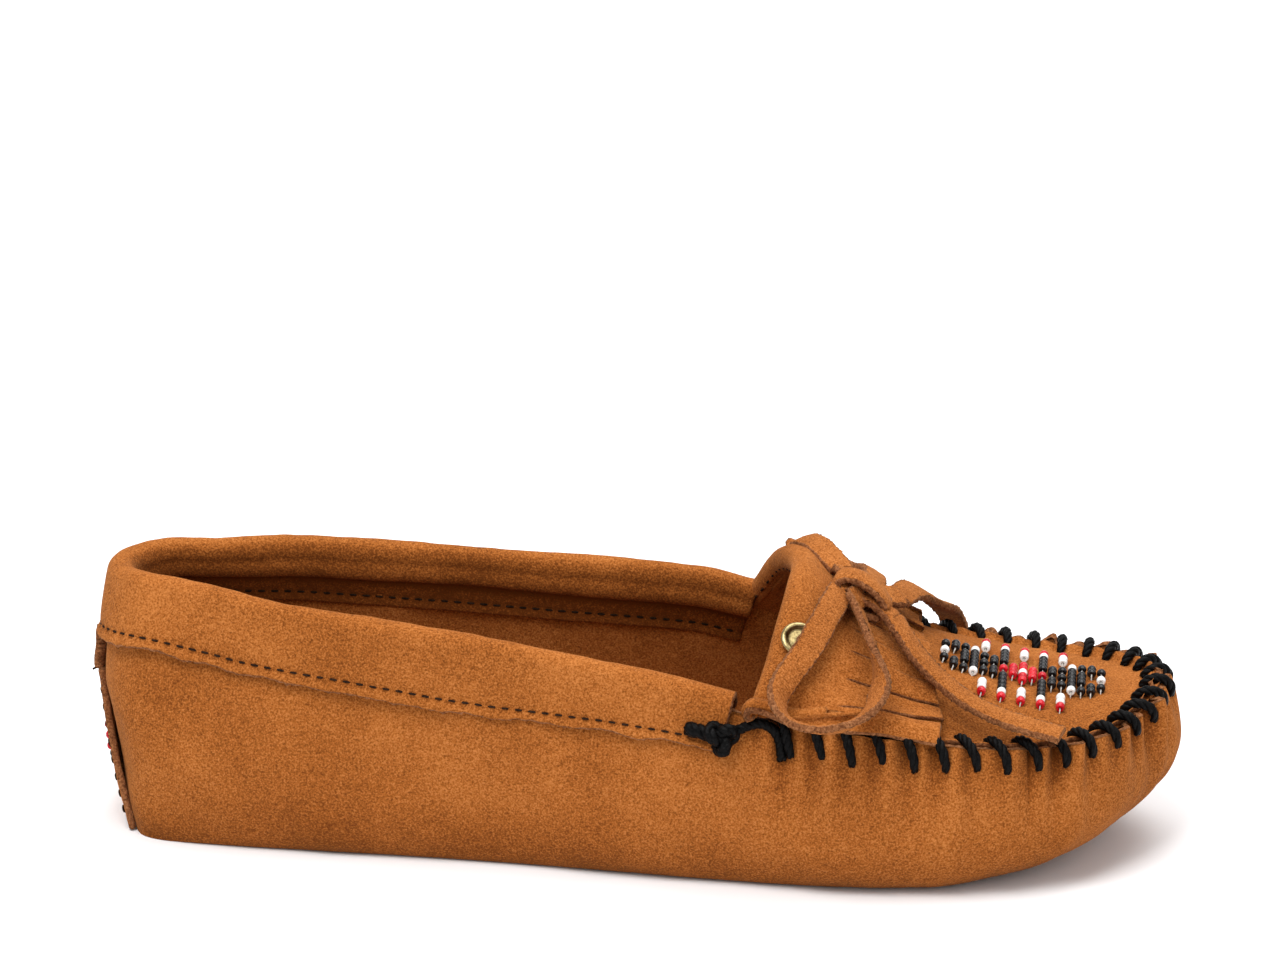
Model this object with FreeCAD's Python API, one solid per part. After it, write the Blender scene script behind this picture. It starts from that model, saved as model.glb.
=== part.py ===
"""Soft-sole suede moccasin, right shoe, built from its separate leather pieces, threads, beads, stud and lace.

Units are millimetres. +X runs from heel to toe, -Y is the outer (lateral) side, +Z is up and z = 0 is the floor.
The shape functions measure x from the back of the heel; place() moves each finished piece to the row's origin.
"""

import FreeCAD, Part
import math
import os

V = FreeCAD.Vector

# ---------------------------------------------------------------- driving dimensions
ORIGIN_X = 124.4            # from the back of the heel to the row's origin
ORIGIN_Y = -1.5
BACK_Y = -0.5                # middle of the heel
LEATHER = 1.8               # wrap thickness
SUEDE = 1.6                 # thickness of plug, cuff, flap and tab
PAD, COVER = 3.6, 1.1        # insole's foam pad and the sock glued on it
FIT = 0.15                  # air left between two stitched layers
RIDGE = 2.2                 # the seam stands this far above the toe plug
CUFF_ROLL = 3.5             # outer radius of the rolled top edge
CUFF_DROP = 13.5            # cuff's outer leg below the wrap's top edge
CUFF_INSIDE = 11.0          # cuff's inner leg
CUFF_ENDS = (149.0, 146.5)  # where the cuff stops, lateral and medial
FOLD_ROLL = 3.4             # outer radius of the fold across the instep
CASING_LEG = 9.5            # depth of the casing's inner leg
FLAP_LIFT = 1.9             # underside of the flap above the plug
FLAP_SIDES = 3.6            # more lift where the flap passes over the lacing
FLAP_GAP = 0.9              # between the roll and the flap's rear edge
FLAP_FRONT = 193.0
FRINGE_CUTS = 11
FRINGE_LENGTH = 21.0
STUD_AT = (164.0, -25.0)
KNOT_AT = (176.0, -4.5)
KNOT_SIZE = (5.0, 4.2, 3.0)   # half lengths
LACE_WIDTH = 6.0
LACE_THICK = 1.8
ARC_STEP = math.radians(8)  # half the turn between sections of a strap
THREAD = 0.9                # radius of the waxed lacing thread
BEAD_R, BEAD_LONG, BEAD_HOLE = 1.08, 2.0, 0.35

# Widest outline seen from above, from the heel round by the lateral side.
OUTLINE = [(0, 0), (2.5, -14), (10, -24), (30, -29.5), (70, -32), (110, -36), (145, -41), (175, -44.5),
           (203, -43), (226, -34), (241, -20), (250, 3), (246, 17), (232, 30), (208, 39.5), (175, 41.5),
           (140, 38), (100, 33), (60, 30.5), (28, 28.5), (10, 23), (2.5, 13)]
# (x, value) knots along the shoe.
TOP_LATERAL = [(0, 57.5), (10, 58.5), (24, 57.6), (48, 55), (99, 49.2), (140, 43.5), (150, 41.5), (162, 39.5),
               (190, 36.8), (218, 34.4), (236, 35), (250, 38)]
TOP_MEDIAL = [(0, 57.5), (10, 58), (24, 57), (48, 55.8), (93, 52.4), (136, 48.2), (148, 45.2), (162, 41.6),
              (190, 37.5), (218, 36), (240, 37.5), (250, 38.3)]
TOP_WIDTH = [(0, .55), (10, .60), (20, .62), (45, .78), (95, .86), (147, .87), (180, .88), (225, .9), (250, .92)]
TOP_SHIFT = [(0, 3), (8, 2), (25, 0), (225, 0), (240, -2), (250, -4)]
BULGE_HEIGHT = [(0, 36), (8, 28), (30, 18), (70, 15), (170, 13), (220, 16), (240, 21), (250, 25)]
FLOOR_WIDTH = [(0, .95), (10, .9), (40, .83), (95, .84), (150, .83), (185, .78), (225, .72), (250, .6)]
FLOOR_SHIFT = [(0, 6.5), (3, 5), (10, 2), (25, 0), (150, 0), (175, -3), (210, -15), (235, -33), (250, -50)]
ROUNDNESS = [(0, .1), (8, .3), (30, .9), (60, 1), (250, 1)]
CROWN = [(146, 20.5), (155, 24.5), (162, 24.8), (170, 20.8), (180, 14.8), (195, 9), (215, 5), (250, 2)]


# ---------------------------------------------------------------- small mathematics
def curve(knots, x):
    """Smooth monotone curve through (x, value) knots."""
    x = min(max(x, knots[0][0]), knots[-1][0])
    i = 0
    while i < len(knots) - 2 and x >= knots[i + 1][0]:
        i += 1
    rise = [(b[1] - a[1]) / (b[0] - a[0]) for a, b in zip(knots, knots[1:])]

    def slope(k):
        if k == 0 or k == len(knots) - 1:
            return rise[min(k, len(rise) - 1)]
        p = rise[k - 1] * rise[k]
        return 0.0 if p <= 0 else 2 * p / (rise[k - 1] + rise[k])

    h = knots[i + 1][0] - knots[i][0]
    t = (x - knots[i][0]) / h
    return (knots[i][1] * (1 + 2 * t) * (1 - t) ** 2 + slope(i) * h * t * (1 - t) ** 2
            + knots[i + 1][1] * t * t * (3 - 2 * t) + slope(i + 1) * h * t * t * (t - 1))


def smooth(t):
    t = min(max(t, 0.0), 1.0)
    return t * t * (3 - 2 * t)


def outline(u):
    """Point of the widest outline; u runs from 0 to 1 round the shoe."""
    n = len(OUTLINE)
    steps = [math.dist(OUTLINE[i], OUTLINE[(i + 1) % n]) ** 0.5 for i in range(n)]
    s = (u % 1.0) * sum(steps)
    i = 0
    while i < n - 1 and s >= steps[i]:
        s -= steps[i]
        i += 1
    h, before, after = steps[i], steps[i - 1], steps[(i + 1) % n]
    t = s / h
    p0, p1, p2, p3 = (OUTLINE[(i + k) % n] for k in (-1, 0, 1, 2))
    found = []
    for a, b, c, d in zip(p0, p1, p2, p3):
        m1 = ((b - a) / before - (c - a) / (before + h) + (c - b) / h) * h
        m2 = ((c - b) / h - (d - b) / (h + after) + (d - c) / after) * h
        found.append(b * (2 * t ** 3 - 3 * t ** 2 + 1) + m1 * (t ** 3 - 2 * t ** 2 + t)
                     + c * (3 * t ** 2 - 2 * t ** 3) + m2 * (t ** 3 - t ** 2))
    return found


# ---------------------------------------------------------------- the shoe's own surfaces
def wall(u, s):
    """Outer surface of the wrap: s is 0 at the edge of the flat sole, 1 at the widest line, 2 at the top edge."""
    x, y = outline(u)
    bulge = curve(BULGE_HEIGHT, x)
    if s <= 1:
        r = curve(ROUNDNESS, x)
        a = s * math.pi / 2
        across = r * math.sin(a) + (1 - r) * s
        up = r * (1 - math.cos(a)) + (1 - r) * s
        floor_x, floor_y = x + curve(FLOOR_SHIFT, x), y * curve(FLOOR_WIDTH, x)
        return V(floor_x + (x - floor_x) * across, floor_y + (y - floor_y) * across, bulge * up)
    side = smooth((y + 12) / 24)
    top = curve(TOP_LATERAL, x) * (1 - side) + curve(TOP_MEDIAL, x) * side
    f = (s - 1) ** 1.6
    return V(x + curve(TOP_SHIFT, x) * f, y + y * (curve(TOP_WIDTH, x) - 1) * f, bulge + (top - bulge) * (s - 1))


def skin(u, s, a):
    """The wall's surface moved a millimetres outwards."""
    d = 0.002
    p = wall(u, s)
    along = wall(u + d, s) - wall(u - d, s)
    if s == 0:
        flat = V(along.y, -along.x, 0).normalize()
        return p + flat * (a * (1 - curve(ROUNDNESS, outline(u)[0]))) + V(0, 0, -a)
    up = wall(u, min(s + 0.02, 2)) - wall(u, s - 0.02)
    return p + along.cross(up).normalize() * a


def u_at(x, side):
    """Where round the outline the top edge reaches x."""
    low, high = (0.0, TIP_U) if side < 0 else (TIP_U, 1.0)
    for _ in range(40):
        mid = (low + high) / 2
        if (wall(mid, 2).x < x) == (side < 0):
            low = mid
        else:
            high = mid
    return (low + high) / 2


TIP_U = max((i / 2000 for i in range(2000)), key=lambda u: wall(u, 2).x)
SEAM_STEP = 1.0
SEAM_START = 140.0
SEAM_TABLE = [[wall(u_at(SEAM_START + i * SEAM_STEP, side), 2) for side in (-1, 1)] for i in range(106)]


def plug_z(x, y):
    """Height of the toe plug's upper surface."""
    k = min(max((x - SEAM_START) / SEAM_STEP, 0), len(SEAM_TABLE) - 1.001)
    i = int(k)
    a = SEAM_TABLE[i][0] + (SEAM_TABLE[i + 1][0] - SEAM_TABLE[i][0]) * (k - i)
    b = SEAM_TABLE[i][1] + (SEAM_TABLE[i + 1][1] - SEAM_TABLE[i][1]) * (k - i)
    w = min(max((y - a.y) / max(b.y - a.y, 0.001), 0), 1)
    v = 2 * w - 1
    return a.z + (b.z - a.z) * w + curve(CROWN, x) * (1 - abs(v) ** (2 + 0.7 * w)) - RIDGE


def plug_normal(x, y):
    d = 0.4
    along = V(2 * d, 0, plug_z(x + d, y) - plug_z(x - d, y))
    across = V(0, 2 * d, plug_z(x, y + d) - plug_z(x, y - d))
    return along.cross(across).normalize()


def over_plug(x, y, lift):
    """Point lift millimetres off the plug's surface."""
    return V(x, y, plug_z(x, y)) + plug_normal(x, y) * lift


def fold_x(y):
    """Rearmost line of the rolled fold across the instep."""
    return 160 - (7 * (y / 37) ** 2 if y < 0 else 14 * (y / 35) ** 1.5)


# ---------------------------------------------------------------- solids
def ring(points):
    """Closed smooth wire, with its parameter shared out evenly so that neighbouring levels of a loft line up."""
    c = Part.BSplineCurve()
    c.interpolate(Points=points, PeriodicFlag=True, Parameters=[i / len(points) for i in range(len(points) + 1)])
    return Part.Wire([c.toShape()])


def polygon(points):
    return Part.makePolygon(points + [points[0]])


def loft(wires, ruled=False):
    return Part.makeLoft(wires, True, ruled)


def sewn(faces):
    """One closed solid from faces that share their edges."""
    shell = Part.Shell(faces)
    shell.sewShape()
    solid = Part.Solid(Part.Shell(shell.Faces) if shell.ShapeType != "Shell" else shell)
    if solid.Volume < 0:
        solid.reverse()
    return solid


def cup(outside, inside, top, levels=12, stations=44):
    """Open tray between two offsets of the wall; top(u) gives the s where its rim lies."""
    def level(a, k):
        us = [i / stations for i in range(stations)]
        return ring([skin(u, top(u) * (k / (levels - 1)) ** 1.5, a) for u in us])

    outer = [level(outside, k) for k in range(levels)]
    inner = [level(inside, k) for k in range(levels)]
    faces = Part.makeLoft(outer, False, False).Faces + Part.makeLoft(inner, False, False).Faces
    faces += Part.makeLoft([outer[-1], inner[-1]], False, True).Faces
    faces += [Part.Face(outer[0]), Part.Face(inner[0])]
    return sewn(faces)


def surface(grid):
    patch = Part.BSplineSurface()
    patch.interpolate(grid)
    return patch


def slab(rows, thick):
    """Curved sheet: each row is a list of (point on the upper face, unit normal there)."""
    upper = surface([[p for p, n in row] for row in rows])
    lower = surface([[p - n * thick for p, n in row] for row in rows])
    faces = [upper.toShape(), lower.toShape()]
    for along in ("uIso", "vIso"):
        bounds = upper.bounds()[:2] if along == "uIso" else upper.bounds()[2:]
        twins = lower.bounds()[:2] if along == "uIso" else lower.bounds()[2:]
        for a, b in zip(bounds, twins):
            top, under = getattr(upper, along)(a).toShape(), getattr(lower, along)(b).toShape()
            faces.append(Part.makeRuledSurface(top, under))
    return sewn(faces)


def bar(path, radius, sides=8):
    """Bar with an even number of flats, lofted along a smooth path."""
    rings = []
    for i, p in enumerate(path):
        t = (path[min(i + 1, len(path) - 1)] - path[max(i - 1, 0)]).normalize()
        a = t.cross(V(0, 0, 1)).normalize()
        b = t.cross(a)
        turns = (2 * math.pi * k / sides for k in range(sides))
        rings.append(polygon([p + (a * math.cos(q) + b * math.sin(q)) * radius for q in turns]))
    return loft(rings)


def ring_piece(first, middle, last, radius):
    """Part of a torus along the arc through three points."""
    arc = Part.Arc(first, middle, last).toShape()
    circle = Part.Circle(first, middle, last)
    disc = Part.Face(Part.Wire([Part.makeCircle(radius, first, arc.tangentAt(arc.FirstParameter))]))
    return disc.revolve(circle.Center, circle.Axis, math.degrees(arc.Length / circle.Radius))


def place(shape):
    shape.translate(V(-ORIGIN_X, -ORIGIN_Y, 0))
    return shape


def save(name, shapes):
    solids = [s for shape in (shapes if isinstance(shapes, list) else [shapes]) for s in shape.Solids]
    kept = Part.makeCompound([place(s.copy()) for s in solids])
    bad = [s for s in kept.Solids if not s.isValid() or s.Volume <= 0]
    box = kept.BoundBox
    print(f"{name:22s} solids {len(kept.Solids):3d}  bad {len(bad)}  volume {kept.Volume:9.1f}  "
          f"x {box.XMin:7.1f} {box.XMax:7.1f}  y {box.YMin:6.1f} {box.YMax:6.1f}  z {box.ZMin:6.2f} {box.ZMax:6.2f}")
    kept.exportStep(f"parts/{name}.step")
    return kept


# ---------------------------------------------------------------- pieces
def make_wrap():
    return cup(0, -LEATHER, lambda u: 2.0)


def inside_ring(z, inset, stations=40):
    """Closed wire at height z that stays inset from the wall's outer surface."""
    points = []
    for i in range(stations):
        u, low, high = i / stations, 0.0, 1.0
        for _ in range(24):
            mid = (low + high) / 2
            if skin(u, mid, -inset).z < z:
                low = mid
            else:
                high = mid
        p = skin(u, (low + high) / 2, -inset)
        points.append(V(p.x, p.y, z))
    return ring(points)


def make_insole():
    """Foam pad and the sock on it, filling the flat of the shoe from wall to wall."""
    inset, low = LEATHER + FIT, LEATHER + 2 * FIT
    pad = loft([inside_ring(low, inset), inside_ring(low + PAD, inset)])
    low += PAD + 0.1
    cover = loft([inside_ring(low, inset), inside_ring(low + COVER, inset)])
    return pad, cover


def cuff_frame(u):
    """Origin at the wrap's top edge, outward and upward directions of the wall there."""
    p = wall(u, 2)
    up = (wall(u, 2) - wall(u, 1.9)).normalize()
    along = (wall(u + 0.002, 2) - wall(u - 0.002, 2)).normalize()
    out = along.cross(up).normalize()
    return p, out, along.cross(out) * -1


def cuff_stations(count):
    start, end = u_at(CUFF_ENDS[1], 1) - 1, u_at(CUFF_ENDS[0], -1)
    return [start + (end - start) * i / (count - 1) for i in range(count)]


def cuff_profile():
    """(outward, up) corners of the folded cuff, round the lace tunnel and down both sides of the wrap."""
    centre = (-LEATHER / 2, 0.7)
    outer, inner = FIT + SUEDE, -LEATHER - FIT - SUEDE

    def arc(radius, first, last, steps):
        return [(centre[0] + radius * math.cos(a), centre[1] + radius * math.sin(a))
                for a in (math.radians(first + (last - first) * k / steps) for k in range(steps + 1))]

    return ([(FIT, -CUFF_DROP), (outer, -CUFF_DROP), (outer, -2.6)] + arc(CUFF_ROLL, -12, 192, 8)
            + [(inner, -2.6), (inner, -CUFF_INSIDE), (-LEATHER - FIT, -CUFF_INSIDE)]
            + arc(CUFF_ROLL - SUEDE, 235, -55, 8))


def make_cuff():
    sections = []
    for u in cuff_stations(31):
        p, out, up = cuff_frame(u)
        sections.append(polygon([p + out * a + up * b for a, b in cuff_profile()]))
    return loft(sections)


def cuff_row(outward, up_by, pitch, long):
    """Thread stitches in a row along the cuff."""
    fine = cuff_stations(1200)
    points = []
    for u in fine:
        p, out, up = cuff_frame(u)
        points.append(p + out * outward + up * up_by)
    made, travelled, next_at = [], 0.0, 3.0
    for a, b in zip(points, points[1:]):
        travelled += a.distanceToPoint(b)
        if travelled >= next_at:
            t = (b - a).normalize()
            made.append(Part.makeCylinder(0.28, long, a - t * (long / 2), t))
            next_at += pitch
    return made[:-1]


def make_lace_run():
    """The part of the lace inside the cuff's tunnel, with a short length standing out of each mouth."""
    path = []
    for u in cuff_stations(29):
        p, out, up = cuff_frame(u)
        path.append(p - out * (LEATHER / 2) + up * 1.3)
    return bar(path, 1.1)


def plug_rows(count=17, across=9):
    """Rows of the toe plug from the throat to the toe, following the seam."""
    rows = []
    first, last = u_at(152.0, -1), u_at(150.5, 1)
    for i in range(count):
        f = 0.965 * (i / (count - 1)) ** 0.85
        left = skin(first + (TIP_U - first) * f, 2, -LEATHER - 0.3)
        right = skin(last + (TIP_U - last) * f, 2, -LEATHER - 0.3)
        row = []
        for k in range(across):
            w = k / (across - 1)
            x = left.x + (right.x - left.x) * w
            y = left.y + (right.y - left.y) * w
            x += (fold_x(y) + FOLD_ROLL - 151.3) * (1 - smooth(f / 0.4))
            row.append((V(x, y, plug_z(x, y)), plug_normal(x, y)))
        rows.append(row)
    return rows


def casing_profile():
    """(forward of the fold line, above the plug) corners of the rolled throat edge and its inner leg."""
    along, up = FOLD_ROLL, -0.2
    inner_roll = FOLD_ROLL - SUEDE + 0.1

    def arc(radius, first, last, steps):
        return [(along + radius * math.cos(a), up + radius * math.sin(a))
                for a in (math.radians(first + (last - first) * k / steps) for k in range(steps + 1))]

    outside = arc(FOLD_ROLL, 90, 270, 8) + [(along + CASING_LEG * k / 3, up - FOLD_ROLL) for k in (1, 2, 3)]
    inside = [(along + CASING_LEG * k / 3, up - inner_roll) for k in (3, 2, 1)] + arc(inner_roll, 290, 90, 8)
    return outside + inside


def make_casing():
    """Rolled throat edge over the instep, with its inner leg following the plug's underside."""
    sections = []
    for k in range(15):
        y = -31 + 62 * k / 14
        before, after = (V(fold_x(y + d), y + d, plug_z(fold_x(y + d), y + d)) for d in (-1, 1))
        across = (after - before).normalize()
        forward = across.cross(plug_normal(fold_x(y), y)).normalize()
        up = forward.cross(across)
        start = over_plug(fold_x(y), y, 0)
        section = []
        for along, lift in casing_profile():
            d = over_plug(fold_x(y) + along, y, lift) - start
            section.append(start + forward * d.dot(forward) + up * d.dot(up))
        sections.append(polygon(section))
    return loft(sections)


def casing_stitches():
    made = []
    for k in range(17):
        y = -28 + 55 * k / 16
        x = fold_x(y) + 10.5
        a, b = (over_plug(x, y + d, -SUEDE - 1.85) for d in (-0.9, 0.9))
        made.append(Part.makeCylinder(0.28, a.distanceToPoint(b), a, b - a))
    return made


def flap_edge(y):
    """How far the fringe reaches over the vamp."""
    return FLAP_FRONT - 4.0 * smooth((y + 20) / 40) + 3.0 * smooth((-y - 15) / 20)


def flap_x(y, g):
    """x at the share g of the way from the fold to the fringe's ends."""
    slant = math.hypot(1, fold_x(y + 0.5) - fold_x(y - 0.5))
    back = fold_x(y) + (FOLD_ROLL + FLAP_GAP) * slant
    return back + (flap_edge(y) - back) * g


def flap_base(x, y):
    """Point on the flap's underside: it rises at both sides to pass over the lacing."""
    left, right = SEAM_TABLE[int(x - SEAM_START)]
    near_edge = max(smooth((left.y + 9 - y) / 8), smooth((y - right.y + 9) / 8))
    return V(x, y, plug_z(x, y) + FLAP_LIFT + FLAP_SIDES * near_edge)


def make_flap():
    rows = []
    low, high, across = -38.5, 36.5, 19
    for i in range(11):
        row = []
        for k in range(across):
            y = low + (high - low) * k / (across - 1)
            x = flap_x(y, i / 10)
            here, ahead, beside = flap_base(x, y), flap_base(x + 0.5, y), flap_base(x, y + 0.5)
            n = (ahead - here).cross(beside - here).normalize()
            row.append((here + n * SUEDE, n))
        rows.append(row)
    flap = slab(rows, SUEDE)
    for k in range(1, FRINGE_CUTS + 1):
        y = low + (high - low) * k / (FRINGE_CUTS + 1)
        x = flap_edge(y) - FRINGE_LENGTH
        flap = flap.cut(Part.makeBox(FRINGE_LENGTH + 6, 0.5, 60, V(x, y - 0.25, 20)))
    return flap


def runs_and_arcs(points):
    """Straight runs joined by tangent arcs, each as large as its two runs allow."""
    pts = [V(*p) for p in points]
    line, radii = [pts[0]], []
    for a, p, b in zip(pts, pts[1:], pts[2:]):
        before, after = (p - a).normalize(), (b - p).normalize()
        half_turn = before.getAngle(after) / 2
        tangent = 0.45 * min(a.distanceToPoint(p), p.distanceToPoint(b))
        radius = tangent / math.tan(half_turn)
        radii.append(radius)
        centre = p + (after - before).normalize() * (radius / math.cos(half_turn))
        start, steps = p - before * tangent, max(1, round(half_turn / ARC_STEP))
        arm = start - centre
        axis = before.cross(after).normalize()
        for k in range(steps + 1):
            line.append(centre + FreeCAD.Rotation(axis, math.degrees(2 * half_turn * k / steps)).multVec(arm))
    return line + [pts[-1]], radii


def strap(points, faces, width=LACE_WIDTH, thick=LACE_THICK):
    """Flat lace along a route; faces gives the direction its broad side looks, from one end to the other."""
    line, radii = runs_and_arcs(points)
    travelled = [0.0]
    for a, b in zip(line, line[1:]):
        travelled.append(travelled[-1] + a.distanceToPoint(b))
    sections = []
    for i, p in enumerate(line):
        t = (line[min(i + 1, len(line) - 1)] - line[max(i - 1, 0)]).normalize()
        k = travelled[i] / travelled[-1] * (len(faces) - 1)
        j = min(int(k), len(faces) - 2)
        look = V(*faces[j]) * (1 - k + j) + V(*faces[j + 1]) * (k - j)
        n = (look - t * look.dot(t)).normalize()
        side = t.cross(n)
        w, h = width / 2, thick / 2
        sections.append(polygon([p + side * w + n * h, p + side * w - n * h,
                                 p - side * w - n * h, p - side * w + n * h]))
    solid = loft(sections, True)
    print(f"  lace {travelled[-1]:.1f} mm, radii {[round(r, 1) for r in radii]}, "
          f"volume {solid.Volume:.0f}, section times length {width * thick * travelled[-1]:.0f}")
    return solid


# Routes of the four free lengths of lace, from the knot outwards, and which way the broad side looks.
NEAR_LOOP = [(172, -10.4, 62), (168.5, -18, 63.8), (162.5, -28, 60.3), (158.5, -36.5, 53), (161.5, -44, 46.5),
             (170.5, -47, 44), (180, -43, 46), (184, -33.5, 50.5), (181.5, -21.5, 56.5), (177.6, -10.8, 61)]
NEAR_LOOP_FACES = [(.5, -.2, .8), (-.3, -.5, .8), (-1, -.1, .1), (-.2, -.8, -.5), (.8, -.5, -.3), (.9, 0, .3),
                   (.9, .1, .4)]
FAR_LOOP = [(171.5, 1.8, 62.8), (166.5, 9, 66.2), (161.5, 18, 64.8), (159.5, 27, 59.3), (164, 33.5, 54.2),
            (171, 33.5, 53), (176, 26, 54.2), (178.8, 15, 57.8), (178.8, 2.6, 59.8)]
FAR_LOOP_FACES = [(.5, .1, .8), (.45, .2, .8), (0, .55, .8), (.1, .85, .5), (.5, .7, .5), (.6, .4, .7), (.75, .1, .65)]
NEAR_TAIL = [(184, -9.5, 56), (187.5, -15.5, 52.6), (193, -22.5, 48.2), (202, -28.8, 43), (211.5, -33, 40.2),
             (223.5, -36, 38.6)]
NEAR_TAIL_FACES = [(.5, -.1, .8), (.5, -.2, .8), (.35, -.2, .9), (.2, -.2, 1)]
FAR_TAIL = [(185, 0.5, 57), (186.5, 8.5, 56.5), (189, 17, 53), (191.5, 26, 47.5), (194, 35.5, 43), (196, 43.5, 37),
            (196.5, 46.3, 28.5), (196, 46, 20)]
FAR_TAIL_FACES = [(.5, -.2, .8), (.5, .2, .8), (.3, .6, .6), (.1, 1, .3), (0, 1, 0)]


def make_knot():
    """Overhand knot of the bow: a soft block resting on the flap."""
    core = Part.makeSphere(1.0)
    matrix = FreeCAD.Matrix()
    matrix.scale(*KNOT_SIZE)
    core = core.transformGeometry(matrix)
    core.translate(flap_base(*KNOT_AT) + V(0, 0, SUEDE + KNOT_SIZE[2] + 0.1))
    return core


def make_stud():
    """Brass cap with its post, and the washer under the flap."""
    x, y = STUD_AT
    n = plug_normal(x, y)
    seat = flap_base(x, y) + n * SUEDE
    cap = Part.makeCylinder(4.3, 0.9, seat + n * 0.05, n)
    cap = cap.makeFillet(0.5, [e for e in cap.Edges if e.Length > 20 and (e.CenterOfMass - seat).dot(n) > 0.5])
    post = Part.makeCylinder(1.1, SUEDE + 0.8, seat + n * 0.1, n * -1)
    cap = cap.fuse(post)
    hole = Part.makeCylinder(1.15, 8, seat + n * 3, n * -1)
    washer = Part.makeCylinder(2.8, 0.5, seat - n * (SUEDE + 0.05), n * -1)
    washer = washer.cut(Part.makeCylinder(1.15, 3, seat, n * -1))
    return cap, washer, hole


def u_at_back(y, z, outward):
    """Where round the heel the wall's offset passes y, at height z."""
    low, high = (0.0, 0.12) if y < 0 else (0.0, -0.12)
    for _ in range(30):
        mid = (low + high) / 2
        if abs(skin(mid, s_any(mid, z), outward).y - BACK_Y) < abs(y):
            low = mid
        else:
            high = mid
    return (low + high) / 2


def back_sheet(outward, thick, z_low, z_high, half_width):
    """Piece lying on the back of the heel; half_width(z) sets its sides."""
    rows = []
    for i in range(9):
        z = z_low + (z_high - z_low) * i / 8
        w = half_width(z)
        row = []
        for k in range(11):
            u = u_at_back(w * (2 * k / 10 - 1), z, outward)
            s = s_any(u, z)
            base, top = skin(u, s, outward), skin(u, s, outward + thick)
            row.append((top, (top - base).normalize()))
        rows.append(row)
    return slab(rows, thick)


def s_any(u, z):
    """s where the wall reaches height z."""
    low, high = 0.001, 2.0
    for _ in range(30):
        mid = (low + high) / 2
        low, high = (mid, high) if wall(u, mid).z < z else (low, mid)
    return low


def tab_half(z):
    return 18.0 - 12.5 * smooth((z - 4) / 34)


def lacing_stations():
    """u of each stitch of the toe lacing, evenly spaced along the seam."""
    first, last = u_at(154.0, -1), u_at(153.0, 1)
    fine = [first + (last - first) * i / 1500 for i in range(1501)]
    points = [wall(u, 2) for u in fine]
    length = sum(a.distanceToPoint(b) for a, b in zip(points, points[1:]))
    count = 33
    found, travelled = [], 0.0
    for i, (a, b) in enumerate(zip(points, points[1:])):
        if travelled >= length * len(found) / (count - 1):
            found.append(fine[i])
        travelled += a.distanceToPoint(b)
    return found


def make_lacing():
    """Waxed thread whipped over the seam ridge: each stitch is one arc through three points."""
    made = []
    for u in lacing_stations():
        slant = 0.0035
        inner = skin(u - slant, 2, -LEATHER - 3.2)
        inner.z = plug_z(inner.x, inner.y) + 0.5
        crest = wall(u, 2) + V(0, 0, 1.0)
        outer = skin(u + slant, 1.77, 0.6)
        made.append(ring_piece(inner, crest, outer, THREAD))
    return made


def make_thread_knot(x, side):
    """Knotted end of the lacing thread beside the cuff's front end."""
    p = skin(u_at(x, side), 1.86, 1.6)
    ball = Part.makeSphere(2.3, p + V(-3.5, 0.5 * side, -1.2))
    for d, r in ((V(-8.5, 0.6 * side, -0.8), 1.1), (V(3.5, 0, 2.4), 1.1)):
        ball = ball.fuse(Part.makeCylinder(r, d.Length, p + V(-3.5, 0.5 * side, -1.2), d))
    return ball


def bead_blank():
    """Seed bead: a short tube with a rounded outside, standing on its own axis."""
    half = BEAD_LONG / 2
    low, high = V(BEAD_HOLE, 0, -half), V(BEAD_HOLE, 0, half)
    flank_low, flank_high = V(BEAD_R * 0.72, 0, -half), V(BEAD_R * 0.72, 0, half)
    outside = Part.Arc(flank_low, V(BEAD_R, 0, 0), flank_high).toShape()
    edges = [Part.makeLine(low, flank_low), outside, Part.makeLine(flank_high, high), Part.makeLine(high, low)]
    return Part.Face(Part.Wire(edges)).revolve(V(0, 0, 0), V(0, 0, 1), 360)


# Beaded medallion seen from above, toe to the right: r, w and k are red, white and black beads, a dot is none.
MOTIF = ["....r.r.r.r.r....",
         "....w.w.w.w.w....",
         "....w.k.w.k.w....",
         "......k...k......",
         ".kkw..k...k..wkk.",
         "kk.kkkk.r.kkkk.kk",
         "..kk.k.rrr.k.kk..",
         "w.kkk.rrwrr.kkk.w",
         "..kk.k.rrr.k.kk..",
         "kk.kkkk.r.kkkk.kk",
         ".kkw..k...k..wkk.",
         "......k...k......",
         "....w.k.w.k.w....",
         "....w.w.w.w.w....",
         "....r.r.r.r.r...."]
MOTIF_CENTRE = (213.4, 0.5)
MOTIF_LANE, MOTIF_PITCH = 2 * BEAD_R + 0.12, BEAD_LONG + 0.2
BEAD_COLOURS = {"red": "r", "white": "w", "black": "k"}


def motif(colour):
    """Centre of each bead of one colour, on the plan."""
    for row, line in enumerate(MOTIF):
        for column, bead in enumerate(line):
            if bead == BEAD_COLOURS[colour]:
                yield (MOTIF_CENTRE[0] + (column - (len(line) - 1) / 2) * MOTIF_LANE,
                       MOTIF_CENTRE[1] + ((len(MOTIF) - 1) / 2 - row) * MOTIF_PITCH)


def toe_beads(colour):
    blank, made = bead_blank(), []
    for x, y in motif(colour):
        n = plug_normal(x, y)
        across = V(0, 1, 0) - n * n.y
        made.append(set_bead(blank, over_plug(x, y, BEAD_R + 0.12), across.normalize()))
    return made


def set_bead(blank, at, axis):
    bead = blank.copy()
    bead.Placement = FreeCAD.Placement(at, FreeCAD.Rotation(V(0, 0, 1), axis))
    return bead


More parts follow.
